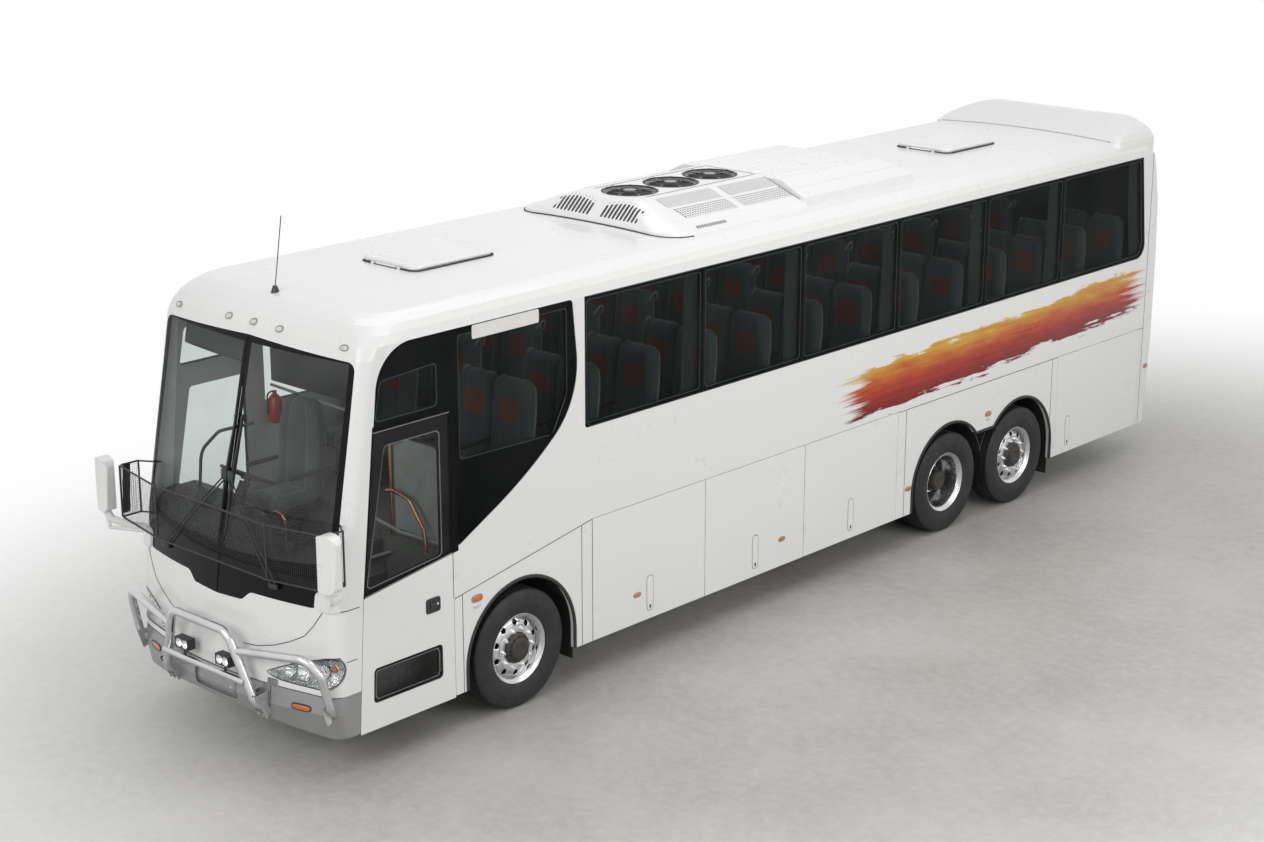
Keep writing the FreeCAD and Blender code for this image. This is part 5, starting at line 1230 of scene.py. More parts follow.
def frameOf(line):
    return surfaceStrip(behindGlass, line, glazing["wide"], 0.0005, 0.035, 0.04, True)


frameShapes = joinShapes(*[frameOf(line) for line in frames])
addPiece("glazingFrames", [(bothSides(frameShapes), greyPlastic)], sharp=60)
doorFrame = frameOf([(-5.5, 1.515), (-5.277, 2.637), (-4.703, 2.637), (-4.703, 1.594)])
lowerFrame = frameOf([(-5.44, 0.58), (-5.43, 0.82), (-4.755, 0.82), (-4.755, 0.58)])

# Door furniture: handle box with a lever, the glass's trim, and a blank sign by it.
handle = {"y": -4.82, "z": 1.203, "half": (0.064, 0.05)}
handleBox = surfaceRing(sidePoint, handle["y"], handle["z"], *handle["half"], 0.014, 0.006, 8.0)
handleDish = surfaceDome(sidePoint, handle["y"], handle["z"], *handle["half"], 0.002, 8.0)
lever = roundBox((half + 0.001, -4.855, 1.18), (half + 0.014, -4.79, 1.225), 0.006)
keyHole = turnedShape([(0, 0), (0, 0.011), (0.004, 0.0105), (0.005, 0.006), (0.005, 0)],
                      (half + 0.002, -4.772, 1.205), (1, 0, 0), 16)
doorTrim = joinShapes(surfaceStrip(sidePoint, [(-5.392, 2.762), (-4.6, 2.762)], 0.006, 0.001, 0.01, 0.2),
                      surfaceStrip(sidePoint, [(-5.525, 1.462), (-4.6, 1.588)], 0.006, 0.001, 0.01, 0.2))
addPiece("doorFittings", [(joinShapes(handleBox, handleDish), blackPlastic), (lever, blackMetal),
                          (keyHole, chrome), (doorTrim, greyPlastic), (doorFrame, greyPlastic),
                          (lowerFrame, greyPlastic)],
         body="entrance_door", sharp=40)
signPlace = surfaceDome(lambda y, z, out: behindGlass(y, z, out + 0.0092), -3.965, 3.358, 0.373, 0.057,
                        0.001, 30.0, 40)
addPiece("signPanel", [(bothSides(signPlace), signPlate)], sharp=50)

# Long slim latches of the luggage doors, each with a dark finger cup at its foot.
latch = {"z": (0.43, 0.75), "wide": 0.04}
latchBodies = [("luggage_door_1", -2.247), ("luggage_door_2", -0.8), ("luggage_door_3", 0.643),
               ("engine_flap", 4.48)]
for node, y in latchBodies:
    for word, side in sides:
        middle = (latch["z"][0] + latch["z"][1]) / 2
        bar = surfaceDome(sidePoint, y, middle, latch["wide"], 0.16, 0.004, 5.0)
        outline = surfaceRing(sidePoint, y, middle, latch["wide"], 0.16, 0.0045, 0.0012, 5.0)
        cup = surfaceDome(sidePoint, y, latch["z"][0] + 0.035, 0.011, 0.018, 0.0055, 4.0, 16)
        parts = onSide([(bar, whitePaint), (outline, seamRubber), (cup, blackPlastic)], side)
        addPiece("%sLatch_%s" % (node, word), parts, "%s_%s" % (node, word), sharp=50)

# Amber side lamps and the reflectors below two of them.
sideLamps = [(-4.34, 1.127, 0.055, 0.026), (1.578, 0.627, 0.042, 0.018), (2.94, 1.114, 0.048, 0.022),
             (6.05, 1.005, 0.035, 0.018)]
flapLamps = {"luggage_door_1": (-2.416, 0.615), "luggage_door_2": (-0.415, 0.616)}


def lampOnSide(y, z, a, b):
    return [(surfaceDome(sidePoint, y, z, a, b, 0.012, 3.0), amberLens),
            (surfaceRing(sidePoint, y, z, a, b, 0.007, 0.007, 3.0), greyPlastic)]


fixedLamps = []
for y, z, a, b in sideLamps:
    fixedLamps += lampOnSide(y, z, a, b)
for y, z in ((-4.34, 1.058), (2.94, 1.055)):
    fixedLamps.append((surfaceDome(sidePoint, y, z, 0.043, 0.015, 0.006, 4.0), paleLens))
addPiece("sideLamps", bothOf(fixedLamps))
for node, (y, z) in flapLamps.items():
    for word, side in sides:
        parts = onSide(lampOnSide(y, z, 0.04, 0.017), side)
        addPiece("%sLamp_%s" % (node, word), parts, "%s_%s" % (node, word))

# Rubber lips round the wheel arches: one over the front wheel and one over both rear wheels.
archLip = {"r": 0.63, "z": 0.53, "foot": 0.352, "dip": 0.95, "wide": 0.03, "high": 0.016}


def archPoints(y, first, last):
    angle = np.radians(np.linspace(first, last, 30))
    return np.stack([y + archLip["r"] * np.cos(angle), archLip["z"] + archLip["r"] * np.sin(angle)], -1)


def lipShape(line):
    route = np.column_stack([np.full(len(line), half + 0.003), line])
    profile = np.array([(-1, -1), (1, -1), (1, 0.2), (0.6, 0.9), (-0.2, 1), (-1, 0.4)])
    return sweptShape(route, profile * (archLip["wide"] / 2, archLip["high"] / 2), (1, 0, 0))


dipAngle = math.degrees(math.asin((archLip["dip"] - archLip["z"]) / archLip["r"]))
frontAxle, driveAxle, tagAxle = -3.83, 2.27, 3.52
frontLip = np.vstack([[(frontAxle - archLip["r"], archLip["foot"])], archPoints(frontAxle, 180, 0),
                      [(frontAxle + archLip["r"], archLip["foot"])]])
rearLip = np.vstack([[(driveAxle - archLip["r"], archLip["foot"])], archPoints(driveAxle, 180, dipAngle),
                     archPoints(tagAxle, 180 - dipAngle, 0), [(tagAxle + archLip["r"], archLip["foot"])]])
addPiece("archLips", [(bothSides(joinShapes(lipShape(frontLip), lipShape(rearLip))), archRubber)],
         sharp=50)
print("stage: side fittings made")


# Roof and its unit. The front hood is a stack of rounded rectangles: height, front edge, half width, corner.
roofUnit = {"split": 0.26, "taper": 0.05, "slots": 12, "slotWide": 0.025, "slotPitch": 0.0465,
            "slotFrom": 0.088}
hoodRows = np.array([(3.5, -1.69, 1.0, 0.28), (3.64, -1.69, 1.0, 0.28), (3.67, -1.678, 0.975, 0.27),
                     (3.7, -1.652, 0.89, 0.25), (3.8, -1.545, 0.605, 0.18), (3.845, -1.492, 0.475, 0.15),
                     (3.863, -1.458, 0.42, 0.13), (3.87, -1.415, 0.37, 0.11)])
unitLong = np.array([(0.26, 3.85), (1.76, 3.85), (2.06, 3.68)])
unitCross = np.array([(0.0, 3.855), (0.56, 3.853), (0.62, 3.843), (1.0, 3.66)])


# How far a point lies inside each of the hood's rounded rectangles; its height is found between the
# last that holds it and the first that doesn't.
def hoodHeight(x, y):
    z = np.full(x.shape, hoodRows[0, 0])
    inside = []
    for _, front, wide, corner in hoodRows:
        fromSide = wide * (1 - roofUnit["taper"] * (y - front) / (roofUnit["split"] - front)) - np.abs(x)
        fromFront = y - front
        inCorner = corner - np.hypot(corner - fromSide, corner - fromFront)
        inside.append(np.where((fromSide < corner) & (fromFront < corner), inCorner,
                               np.minimum(fromSide, fromFront)))
    for low, high, a, b in zip(hoodRows, hoodRows[1:], inside, inside[1:]):
        share = np.clip(a / np.maximum(a - b, 1e-6), 0, 1)
        z = np.where(a >= 0, low[0] + (high[0] - low[0]) * share, z)
    return z


def unitPoint(x, y, out=0.0):
    x, y, out = alike(x, y, out)
    back = np.minimum(np.interp(y, *unitLong.T), np.interp(np.abs(x), *unitCross.T))
    return np.stack([x, y, np.where(y < roofUnit["split"], hoodHeight(x, y), back) + out], -1)


slots, rivets = [], []
for i in range(roofUnit["slots"]):
    share = (i + 0.5) / roofUnit["slots"]
    x = roofUnit["slotFrom"] + roofUnit["slotPitch"] * i
    reach = 0.085 + 0.05 * math.sin(math.pi * min(max(share * 1.05, 0.02), 0.97)) ** 0.7
    low = hoodRows[0, 1] + 0.05 + max(x - 0.5, 0) * 0.15
    middle = low + reach / 2
    slots.append(surfaceDome(unitPoint, x, middle, roofUnit["slotWide"] / 2, reach / 2, 0.005, 6.0, 16))
    rivets.append(surfaceDome(unitPoint, x, low + reach + 0.02, 0.0045, 0.0045, 0.003, 2.0, 8))
slotShapes = bothSides(joinShapes(*slots))
rivetShapes = bothSides(joinShapes(*rivets))
sideSlots = joinShapes(*[surfaceStrip(unitPoint, [(0.95, y), (0.912, y + 0.015)], 0.014, 0.003)
                         for y in -1.29 + 0.034 * np.arange(12)])


# Perforated sheet: round holes on a square grid of the given pitch, set in bare paint; the holes are painted
# near-black, painted shade of the dark inside seen through them.
def grilleFinish(name, pitch, hole):
    material, tree, shader = newMaterial(name)
    x, y, _ = xyz(tree)
    across = mathOf(tree, "MULTIPLY", mathOf(tree, "ABSOLUTE", x), 1.11)
    cells = [mathOf(tree, "SUBTRACT", mathOf(tree, "FRACT", mathOf(tree, "DIVIDE", value, pitch)), 0.5)
             for value in (y, across)]
    squares = [mathOf(tree, "MULTIPLY", cell, cell) for cell in cells]
    away = mathOf(tree, "SQRT", mathOf(tree, "ADD", *squares))
    metal = rangeOf(tree, away, hole * 0.92, hole * 1.08)
    # Painted shade: near-black where the holes are, white paint on the sheet between them.
    tone = mixOf(tree, metal, (0.015, 0.015, 0.016), paint["white"])
    tone = mixOf(tree, rangeOf(tree, noiseOf(tree, 6.0), 0.4, 0.9, 0.0, 0.25), tone, (0.4, 0.39, 0.36))
    plug(tree, shader.inputs["Base Color"], tone)
    plug(tree, shader.inputs["Roughness"], rangeOf(tree, metal, 0.0, 1.0, 0.8, 0.35))
    setBump(tree, shader, metal, 0.002)
    return material


grilleFine = grilleFinish("grilleFine", 0.0125, 0.27)
grilleCoarse = grilleFinish("grilleCoarse", 0.034, 0.28)


def unitPanel(x0, x1, y0, y1):
    x = np.linspace(x0, x1, 7)[:, None]
    y = np.linspace(y0, y1, 9)[None]
    top = unitPoint(x, y, 0.003)
    return gridShape(np.concatenate([top, (top - (0, 0, 0.012))[::-1]]), closeRows=True)


finePanels = joinShapes(unitPanel(0.42, 0.585, -1.28, -0.54), unitPanel(0.42, 0.585, -0.43, 0.23))
coarsePanels = joinShapes(unitPanel(0.61, 0.775, -1.25, -0.54), unitPanel(0.61, 0.775, -0.45, 0.23))


def onUnit(line, wide, high):
    return surfaceStrip(unitPoint, line, wide, high, 0.02, 0.1)


unitSeams = [onUnit([(0.315, -1.3), (0.315, 0.22)], 0.006, 0.002),
             onUnit([(0.0, 0.253), (0.6, 0.253), (0.94, 0.253)], 0.006, 0.002)]
screws = [surfaceDome(unitPoint, 0.315, y, 0.011, 0.011, 0.005, 2.0, 10) for y in (-1.31, 0.23)]
folds = [roundBox((x - 0.02, 0.34, 3.838), (x + 0.02, 1.72, 3.861), 0.01) for x in (0.18, 0.48)]
foldOuter = onUnit([(0.74, 0.36), (0.74, 1.9)], 0.03, 0.009)
roofArc = {"top": 3.66, "radius": 17.425}


# A point of the roof's skin: one arc across the coach, level along it.
def roofPoint(x, y, out=0.0):
    x, y, out = alike(x, y, out)
    z = roofArc["top"] - (roofArc["radius"] - np.sqrt(roofArc["radius"] ** 2 - x ** 2))
    return np.stack([x, y, z + out], -1)


unitFoot = [(0.0, -1.693), (0.72, -1.693), (0.861, -1.655), (0.965, -1.551), (0.998, -1.41)]
footSeal = surfaceStrip(roofPoint, unitFoot, 0.02, 0.007, 0.12, 0.05)
# A grey strip along the spoiler's foot: its seam, and a painted shadow line where the spoiler meets the roof.
spoilerSeal = surfaceStrip(roofPoint, [(-1.1, 5.272), (1.1, 5.272)], 0.014, 0.004, 0.02, 0.1)
addPiece("spoilerSeal", [(spoilerSeal, greyPlastic)], sharp=60)
addPiece("roofUnitTrim", [
    (slotShapes, blackPlastic), (rivetShapes, greyPlastic), (bothSides(sideSlots), blackPlastic),
    (bothSides(finePanels), grilleFine), (bothSides(coarsePanels), grilleCoarse),
    (bothSides(joinShapes(*unitSeams)), seamRubber), (bothSides(joinShapes(*screws)), brushedAlloy),
    (bothSides(joinShapes(*folds, foldOuter)), whitePaint), (bothSides(footSeal), seamRubber)], sharp=45)

# Wire guards over the condenser fans: rings and spokes of wire, a hub plate and the ring's dark mouth.
fanGuard = {"stations": [-1.16, -0.6, -0.05], "z": 3.878, "rings": [0.06, 0.095, 0.13, 0.165, 0.2, 0.235],
            "wire": 0.0022}
guardParts = []
for y in fanGuard["stations"]:
    turn = np.linspace(0, 2 * math.pi, 56, endpoint=False)
    for radius in fanGuard["rings"]:
        ring = np.stack([radius * np.cos(turn), y + radius * np.sin(turn),
                         np.full(len(turn), fanGuard["z"])], -1)
        guardParts.append((sweptShape(ring, circle(fanGuard["wire"], 4), (0, 0, 1), loop=True), blackMetal))
    for i in range(9):
        angle = 2 * math.pi * i / 9 + 0.2
        tip = np.array([math.cos(angle), math.sin(angle), 0])
        at = np.array([0, y, fanGuard["z"]])
        guardParts.append((rodShape(at + tip * 0.05, at + tip * 0.25, 0.003, 6), blackMetal))
        guardParts.append((roundBox(at + tip * 0.25 - (0.01, 0.01, 0.006),
                                    at + tip * 0.25 + (0.01, 0.01, 0.003), 0.003), greyPlastic))
    guardParts.append((turnedShape([(0, 0), (0, 0.062), (0.004, 0.06), (0.006, 0.045), (0.006, 0)],
                                   (0, y, fanGuard["z"] - 0.003), (0, 0, 1), 32), greyPlastic))
    lip = [(3.866, 0.2432), (3.8735, 0.2432), (3.875, 0.248), (3.875, 0.26), (3.8715, 0.2645),
           (3.866, 0.2645)]
    mouth = turnedShape(lip, (0, y, 0), (0, 0, 1), 64, closed=True)
    guardParts.append((mouth, blackPlastic))
addPiece("fanGuards", guardParts, sharp=40)

# Hatches: a raised rim, a pressed panel, and the rubber it shuts on.
for name in ("roof_hatch_front", "roof_hatch_rear"):
    low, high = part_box(name)
    top = high.z
    y0, y1 = low.y + 0.03, high.y
    edge = evenLine([(-0.325, y0), (0.325, y0), (0.325, y1), (-0.325, y1)], 0.07, 0.03, True)
    route = np.column_stack([edge, np.full(len(edge), top - 0.006)])
    panel = surfaceDome(lambda x, y, out: np.stack([x, y, top + out], -1), 0.0, (y0 + y1) / 2, 0.25,
                        (y1 - y0) / 2 - 0.09, 0.006, 10.0, 48)
    grips = joinShapes(*[roundBox((x - 0.05, y1 - 0.02, top - 0.02), (x + 0.05, y1 + 0.004, top - 0.006),
                                  0.005) for x in (-0.2, 0.2)])
    rimProfile = np.array([(-1, -1), (1, -1), (1, 0), (0.3, 1), (-0.6, 0.8)]) * (0.01, 0.009)
    rimPart = sweptShape(route, rimProfile, (0, 0, 1), loop=True)
    addPiece(name + "Rim", [(rimPart, whitePaint), (panel, whitePaint), (grips, greyPlastic)], name,
             sharp=50)
    seat = [(-0.34, y0 - 0.01), (0.34, y0 - 0.01), (0.34, y1 + 0.01), (-0.34, y1 + 0.01)]
    seal = surfaceStrip(roofPoint, seat, 0.02, 0.008, 0.08, 0.03, True)
    addPiece(name + "Seal", [(seal, seamRubber)], sharp=60)
print("stage: roof made")

# Seats: a place's cushion and back are closed side outlines carried across it, drawn in towards its two
# sides, pressed in along sewn channels and swelling between them.
bench = {"firstY": -4.1, "pitch": 0.76, "rows": 13, "wallX": 0.3, "baseZ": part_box("seats")[0].z,
         "places": (0.517, 0.933)}
cushionSide = [(0.045, 0.3), (0.04, 0.428), (0.41, 0.413), (0.46, 0.395), (0.46, 0.3)]
backSide = [(0.408, 0.41), (0.44, 0.75), (0.462, 1.13), (0.55, 1.178), (0.612, 1.11), (0.56, 0.7),
            (0.518, 0.36), (0.46, 0.34)]
shellSide = [(0.5, 0.36), (0.535, 0.35), (0.632, 1.1), (0.6, 1.13), (0.57, 1.06)]
padAround = 44
padHalf = np.array([0.25, 0.46, 0.5, 0.54, 0.62, 0.78, 0.9, 0.97, 1])
padAcross = np.concatenate([-padHalf[::-1], [0], padHalf])


def evenLoop(corners, radius, count):
    corners = np.asarray(corners, float)
    start = (corners[:1] + corners[-1:]) / 2
    route = roundRoute(np.vstack([start, corners, start]), radius, 5)
    along = np.concatenate([[0], np.cumsum(np.linalg.norm(np.diff(route, axis=0), axis=1))])
    at = np.linspace(0, along[-1], count, endpoint=False)
    return np.stack([np.interp(at, along, route[:, k]) for k in range(2)], -1)


def padShape(corners, half, draw, channel, bolster, shoulder=0.0, radius=0.045, around=padAround):
    loop = evenLoop(corners, radius, around)
    ahead = np.roll(loop, -1, 0) - np.roll(loop, 1, 0)
    ahead /= np.linalg.norm(ahead, axis=1)[:, None]
    inward = np.stack([-ahead[:, 1], ahead[:, 0]], -1)
    inward *= np.sign(((loop.mean(0) - loop) * inward).sum())
    u = padAcross[:, None]
    shown = np.clip((loop[:, 1] - loop[:, 1].min()) / 0.05, 0, 1)[None]
    groove = channel * np.exp(-((np.abs(u) - 0.5) / 0.045) ** 2)
    swell = bolster * (np.exp(-((np.abs(u) - 0.8) / 0.16) ** 2) + 0.4 * (1 - u ** 2))
    inset = draw * (1 - (1 - np.abs(u) ** 6) ** 0.5) + shown * (groove - swell)
    plane = loop[None] + inset[..., None] * inward[None]
    top = loop[:, 1].max()
    narrow = 1 - shoulder * np.clip((plane[..., 1] - top + 0.3) / 0.3, 0, 1) ** 2
    return gridShape(np.stack([half * u * narrow, plane[..., 0], plane[..., 1]], -1), closeCols=True,
                     caps=True)


# The same points with only the faces whose middles pass, or fail, a test.
def partOf(shape, test, wanted=True):
    points, faces = shape
    return points, [f[test(points[f].mean(1)) == wanted] for f in faces]


def onPatch(middle):
    frontLine = 0.43 + 0.085 * (middle[:, 2] - 0.41) / 0.72
    inHeight = (middle[:, 2] > 0.82) & (middle[:, 2] < 1.01)
    return (middle[:, 1] < frontLine) & (np.abs(middle[:, 0]) < 0.115) & inHeight


seatCushion = padShape(cushionSide, 0.206, 0.03, 0.007, 0.012)
seatBack = padShape(backSide, 0.206, 0.034, 0.006, 0.012, 0.16)
cushionLoops = seatCushion[0].reshape(-1, padAround, 3)
piping = [tubeShape(np.vstack([cushionLoops[row], cushionLoops[row, :1]]), 0.0035, 5) for row in (2, 16)]
armrest = joinShapes(roundBox((-0.022, 0.1, 0.6), (0.022, 0.42, 0.64), 0.018, 2),
                     sweptShape([(0, 0.42, 0.62), (0, 0.46, 0.615)], boxProfile(0.03, 0.03)))
benchFrame = joinShapes(
    *[roundBox((x - 0.025, 0.16, 0.0), (x + 0.025, 0.42, 0.03), 0.01, 1) for x in (0.145, 0.685)],
    *[sweptShape([(x, 0.28, 0.02), (x, 0.28, 0.2), (x, 0.25, 0.3)], boxProfile(0.04, 0.16))
      for x in (0.145, 0.685)],
    *[sweptShape([(0.02, y, 0.285), (0.83, y, 0.285)], boxProfile(0.04, 0.03)) for y in (0.12, 0.4)])
grabHandle = bentTube([(0.03, 0.52, 1.08), (0.0, 0.57, 1.15), (0.0, 0.62, 1.15), (0.03, 0.62, 1.06)], 0.03,
                      0.011, 8, 4)
pocket = padShape([(0.575, 0.55), (0.6, 0.55), (0.625, 0.78), (0.6, 0.78)], 0.15, 0.008, 0.001, 0.002,
                  radius=0.008, around=20)
rowY = bench["firstY"] + bench["pitch"] * np.arange(bench["rows"])
benchAt = np.stack([np.full(bench["rows"], bench["wallX"]), rowY, np.full(bench["rows"], bench["baseZ"])], -1)
placeAt = np.vstack([benchAt + (x - bench["wallX"], 0, 0) for x in bench["places"]])
seatShell = joinShapes(padShape(shellSide, 0.195, 0.01, 0.0, 0.002, 0.16, 0.012, 28), pocket)
armrests = joinShapes(moved(armrest, (0.005, 0, 0)), moved(armrest, (0.425, 0, 0)))
seatPads = {
    "seatCushions": [(seatCushion, placeAt, seatCloth), (joinShapes(*piping), placeAt, blackTrim)],
    "seatBacks": [(partOf(seatBack, onPatch, False), placeAt, seatCloth),
                  (partOf(seatBack, onPatch), placeAt, seatAccent)],
    "seatFrames": [(benchFrame, benchAt, blackMetal), (grabHandle, benchAt, greyPlastic),
                   (seatShell, placeAt, greyPlastic), (armrests, benchAt, dashPlastic)],
}
for side, word in ((1, "Right"), (-1, "Left")):
    for name, rows in seatPads.items():
        parts = onSide([(copiesAt(shape, at), material) for shape, at, material in rows], side)
        soft = name != "seatFrames"
        pad = addPiece(name + word, parts, replaces=("seats",), sharp=60 if soft else 45)
print("stage: passenger seats made")

# Driver's seat: a wider cushion and a back that narrows to its headrest, on a bellows over slide rails.
driver = {"x": -0.64, "y": -5.06, "baseZ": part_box("driver_seat")[0].z + 0.08}
driverAt = (driver["x"], driver["y"], driver["baseZ"])
driverBack = padShape([(0.4, 0.42), (0.43, 0.7), (0.45, 0.93), (0.475, 1.14), (0.55, 1.178), (0.61, 1.1),
                       (0.56, 0.7), (0.52, 0.34), (0.46, 0.34)], 0.25, 0.045, 0.01, 0.022, 0.42, 0.045, 60)
driverPads = [("driverCushion", padShape(cushionSide, 0.25, 0.04, 0.01, 0.02)), ("driverBack", driverBack)]
for name, shape in driverPads:
    pad = addPiece(name, [(moved(shape, driverAt), seatCloth)],
                   replaces=("driver_seat",), sharp=60)
bellows = [(-0.02, 0)] + [(0.02 * i, 0.17 - 0.018 * (i % 2)) for i in range(14)] + [(0.27, 0)]
driverFrame = joinShapes(
    turnedShape(bellows, (0, 0.26, 0.0), (0, 0, 1), 24),
    roundBox((-0.2, 0.1, -0.075), (-0.15, 0.46, -0.03), 0.01, 1),
    roundBox((0.15, 0.1, -0.075), (0.2, 0.46, -0.03), 0.01, 1),
    roundBox((-0.22, 0.07, 0.265), (0.22, 0.46, 0.3), 0.012, 2))
driverArms = joinShapes(*[moved(armrest, (x, 0.02, -0.02)) for x in (-0.285, 0.285)])
addPiece("driverSeatBase", [(moved(driverFrame, driverAt), blackPlastic),
                            (moved(driverArms, driverAt), dashPlastic)],
         replaces=("driver_seat",), sharp=45)

# Curtains: sheets hung in upright folds at the rear edge of each pane; the folds' depth and the sheet's
# spread both grow from the heading tape down to the hem.
curtain = {"edges": (*sideSeams["paneEdges"], 5.74), "gap": 0.035, "x": 1.181, "top": 3.405, "foot": 2.325,
           "folds": 6, "spread": (0.15, 0.175), "depth": (0.008, 0.0145)}
down = np.linspace(0, 1, 22)[:, None]
alongFold = np.linspace(0, 1, curtain["folds"] * 12 + 1)[None]
hookAt = []
for i, edge in enumerate(curtain["edges"]):
    last = i == len(curtain["edges"]) - 1
    lean = 0.13 * down if last else 0 * down
    spread = curtain["spread"][0] + (curtain["spread"][1] - curtain["spread"][0]) * down ** 0.7
    depth = curtain["depth"][0] + (curtain["depth"][1] - curtain["depth"][0]) * np.sqrt(down)
    turnsAt = 2 * math.pi * curtain["folds"] * alongFold
    turnsAt = turnsAt + 0.35 * np.sin(5 * down + 3 * i) + 0.3 * np.sin(9 * alongFold + i)
    x = curtain["x"] + depth * np.sin(turnsAt) * (1 + 0.12 * np.sin(7 * alongFold + 2 * i))
    y = edge - curtain["gap"] - spread * (1 - alongFold) + lean + 0.3 * depth * np.sin(2 * turnsAt)
    z = curtain["top"] - (curtain["top"] - curtain["foot"]) * down + 0.004 * np.cos(turnsAt) * down
    points = np.stack([x, y, z + 0 * x], -1)
    for side, name in ((1, "Right"), (-1, "Left")):
        shape = gridShape(points) if side > 0 else mirrored(gridShape(points))
        made = addPiece("curtain%s%d" % (name, i + 1), [(shape, curtainCloth)],
                        replaces=("curtains",), sharp=80, outward=False)
    hookAt += [(curtain["x"], edge - curtain["gap"] - curtain["spread"][0] * k / curtain["folds"],
                curtain["top"] + 0.002) for k in range(curtain["folds"] + 1)]
rail = sweptShape([(curtain["x"], -3.0, 3.414), (curtain["x"], 5.68, 3.414)], boxProfile(0.014, 0.01))
hooks = copiesAt(roundBox((-0.003, -0.004, -0.006), (0.003, 0.004, 0.004), 0.001, 1), hookAt)
addPiece("curtainRails", [(bothSides(rail), greyPlastic), (bothSides(hooks), blackPlastic)],
         sharp=40)

# Cab and entrance: partition, poles, rails, extinguisher, blinds, racks, dash and its dials.
panelEdge = roundRoute([(1.17, -4.6, 1.65), (1.17, -4.6, 2.45), (0.57, -4.6, 2.45), (0.57, -4.6, 1.65)],
                       0.12, 8)
copper = joinShapes(
    bentTube([(0.59, -4.7, 1.99), (0.69, -4.7, 2.01), (0.87, -4.7, 1.97), (1.03, -4.7, 1.75),
              (1.05, -4.7, 1.56)], 0.1, 0.016),
    bentTube([(-0.28, -5.2, 1.66), (-0.24, -5.2, 1.75), (-0.11, -5.2, 1.73), (-0.1, -5.2, 1.3)], 0.05, 0.016),
    rodShape((0.59, -4.65, 1.6), (0.59, -4.65, 2.38), 0.016, 12),
    rodShape((0.59, -4.65, 2.38), (0.72, -4.62, 2.42), 0.013, 10),
    bentTube([(0.66, -4.52, 2.3), (0.66, -4.52, 2.41), (0.98, -4.52, 2.41), (0.98, -4.52, 2.3)], 0.05,
             0.013, 10))
paleRails = joinShapes(
    bentTube([(0.3, -4.66, 1.3), (0.3, -4.66, 1.71), (0.7, -4.66, 1.65), (1.17, -4.66, 1.66)], 0.08, 0.015),
    rodShape((0.27, -4.67, 1.31), (0.58, -4.67, 1.45), 0.013, 10))
blackBar = bentTube([(-0.83, -5.5, 1.85), (-0.785, -5.5, 2.22), (-0.53, -5.5, 2.44), (-0.08, -5.5, 2.6)],
                    0.25, 0.014, 10, 8)
bottle = [(0, 0), (0, 0.05), (0.015, 0.06), (0.2, 0.06), (0.24, 0.035), (0.25, 0.02), (0.28, 0.02), (0.28, 0)]
extinguisher = turnedShape(bottle, (-1.12, -4.45, 2.17), (0, 0, 1), 24)
hose = bentTube([(-1.12, -4.47, 2.45), (-1.12, -4.53, 2.44), (-1.12, -4.53, 2.26)], 0.04, 0.008, 8)
rackProfile = [(0.0, 0.0), (0.3, -0.03), (0.33, 0.0), (0.32, 0.03), (0.02, 0.05), (0.0, 0.16),
               (-0.015, 0.16), (-0.02, 0.02)]
rack = sweptShape([(0.87, -3.3, 3.42), (0.87, 5.6, 3.42)], rackProfile, (0, 0, 1))
rackLip = tubeShape([(0.86, -3.3, 3.58), (0.86, 5.6, 3.58)], 0.01, 8)
consoles = copiesAt(roundBox((-0.13, -0.09, -0.03), (0.13, 0.09, 0.0), 0.02, 2),
                    [(1.0, y + 0.25, 3.4) for y in rowY])
header = roundBox((-1.19, -4.43, 2.52), (-0.05, -4.4, 3.44), 0.012, 2)
bulkhead = roundBox((-1.19, 5.82, 1.61), (1.19, 5.85, 3.46), 0.012, 2)
headerRail = rodShape((-1.15, -4.46, 2.5), (-0.08, -4.46, 2.46), 0.013, 10)
blindX = np.linspace(-1.0, -0.08, 20)
blindPoints = nosePoint(blindX[None], np.linspace(3.3, 3.1, 6)[:, None], -0.09)
panelTube = tubeShape(np.vstack([panelEdge, panelEdge[:1]]) + (0, -0.0125, 0), 0.016, 8)
cabParts = [
    (plateShape(panelEdge, (0, -0.025, 0)), greyPlastic), (panelTube, blackPlastic), (copper, copperRail),
    (paleRails, greyPlastic), (blackBar, blackPlastic), (extinguisher, extinguisherRed),
    (joinShapes(hose, header, bulkhead), dashPlastic), (headerRail, greyPlastic),
    (bothSides(rack), cabinTrim), (bothSides(rackLip), greyPlastic), (bothSides(consoles), greyPlastic),
]
addPiece("cabFittings", cabParts, sharp=45)
addPiece("driverBlind", [(gridShape(blindPoints), dashPlastic)], outward=False,
         modifiers=[("SOLIDIFY", {"thickness": 0.006})])
dials = [(-0.74, 0.055), (-0.54, 0.055), (-0.64, 0.035), (-0.85, 0.035), (-0.43, 0.035)]
dialFace = joinShapes(*[
    turnedShape([(0.0, 0), (0.0, r), (0.006, r), (0.006, r - 0.006), (0.003, r - 0.008), (0.003, 0)],
                (x, -5.385, 1.77), (0, 0.84, 0.54), 24) for x, r in dials])
keys = copiesAt(roundBox((-0.014, -0.006, -0.01), (0.014, 0.006, 0.01), 0.003, 1),
                [(-0.33 + 0.035 * i, -5.36, 1.76 - 0.03 * j) for i in range(5) for j in range(2)])
hump = joinShapes(roundBox((-0.98, -5.66, 1.8), (-0.3, -5.42, 1.925), 0.05, 4),
                  roundBox((-0.28, -5.68, 1.8), (-0.14, -5.46, 1.885), 0.03, 3))
ventSlats = joinShapes(*[roundBox((-0.06, -0.002, z - 0.003), (0.06, 0.012, z + 0.003), 0.002, 1)
                         for z in np.linspace(-0.03, 0.03, 5)])
vents = copiesAt(ventSlats, [(-0.22, -5.34, 1.62), (-1.05, -5.34, 1.62)])
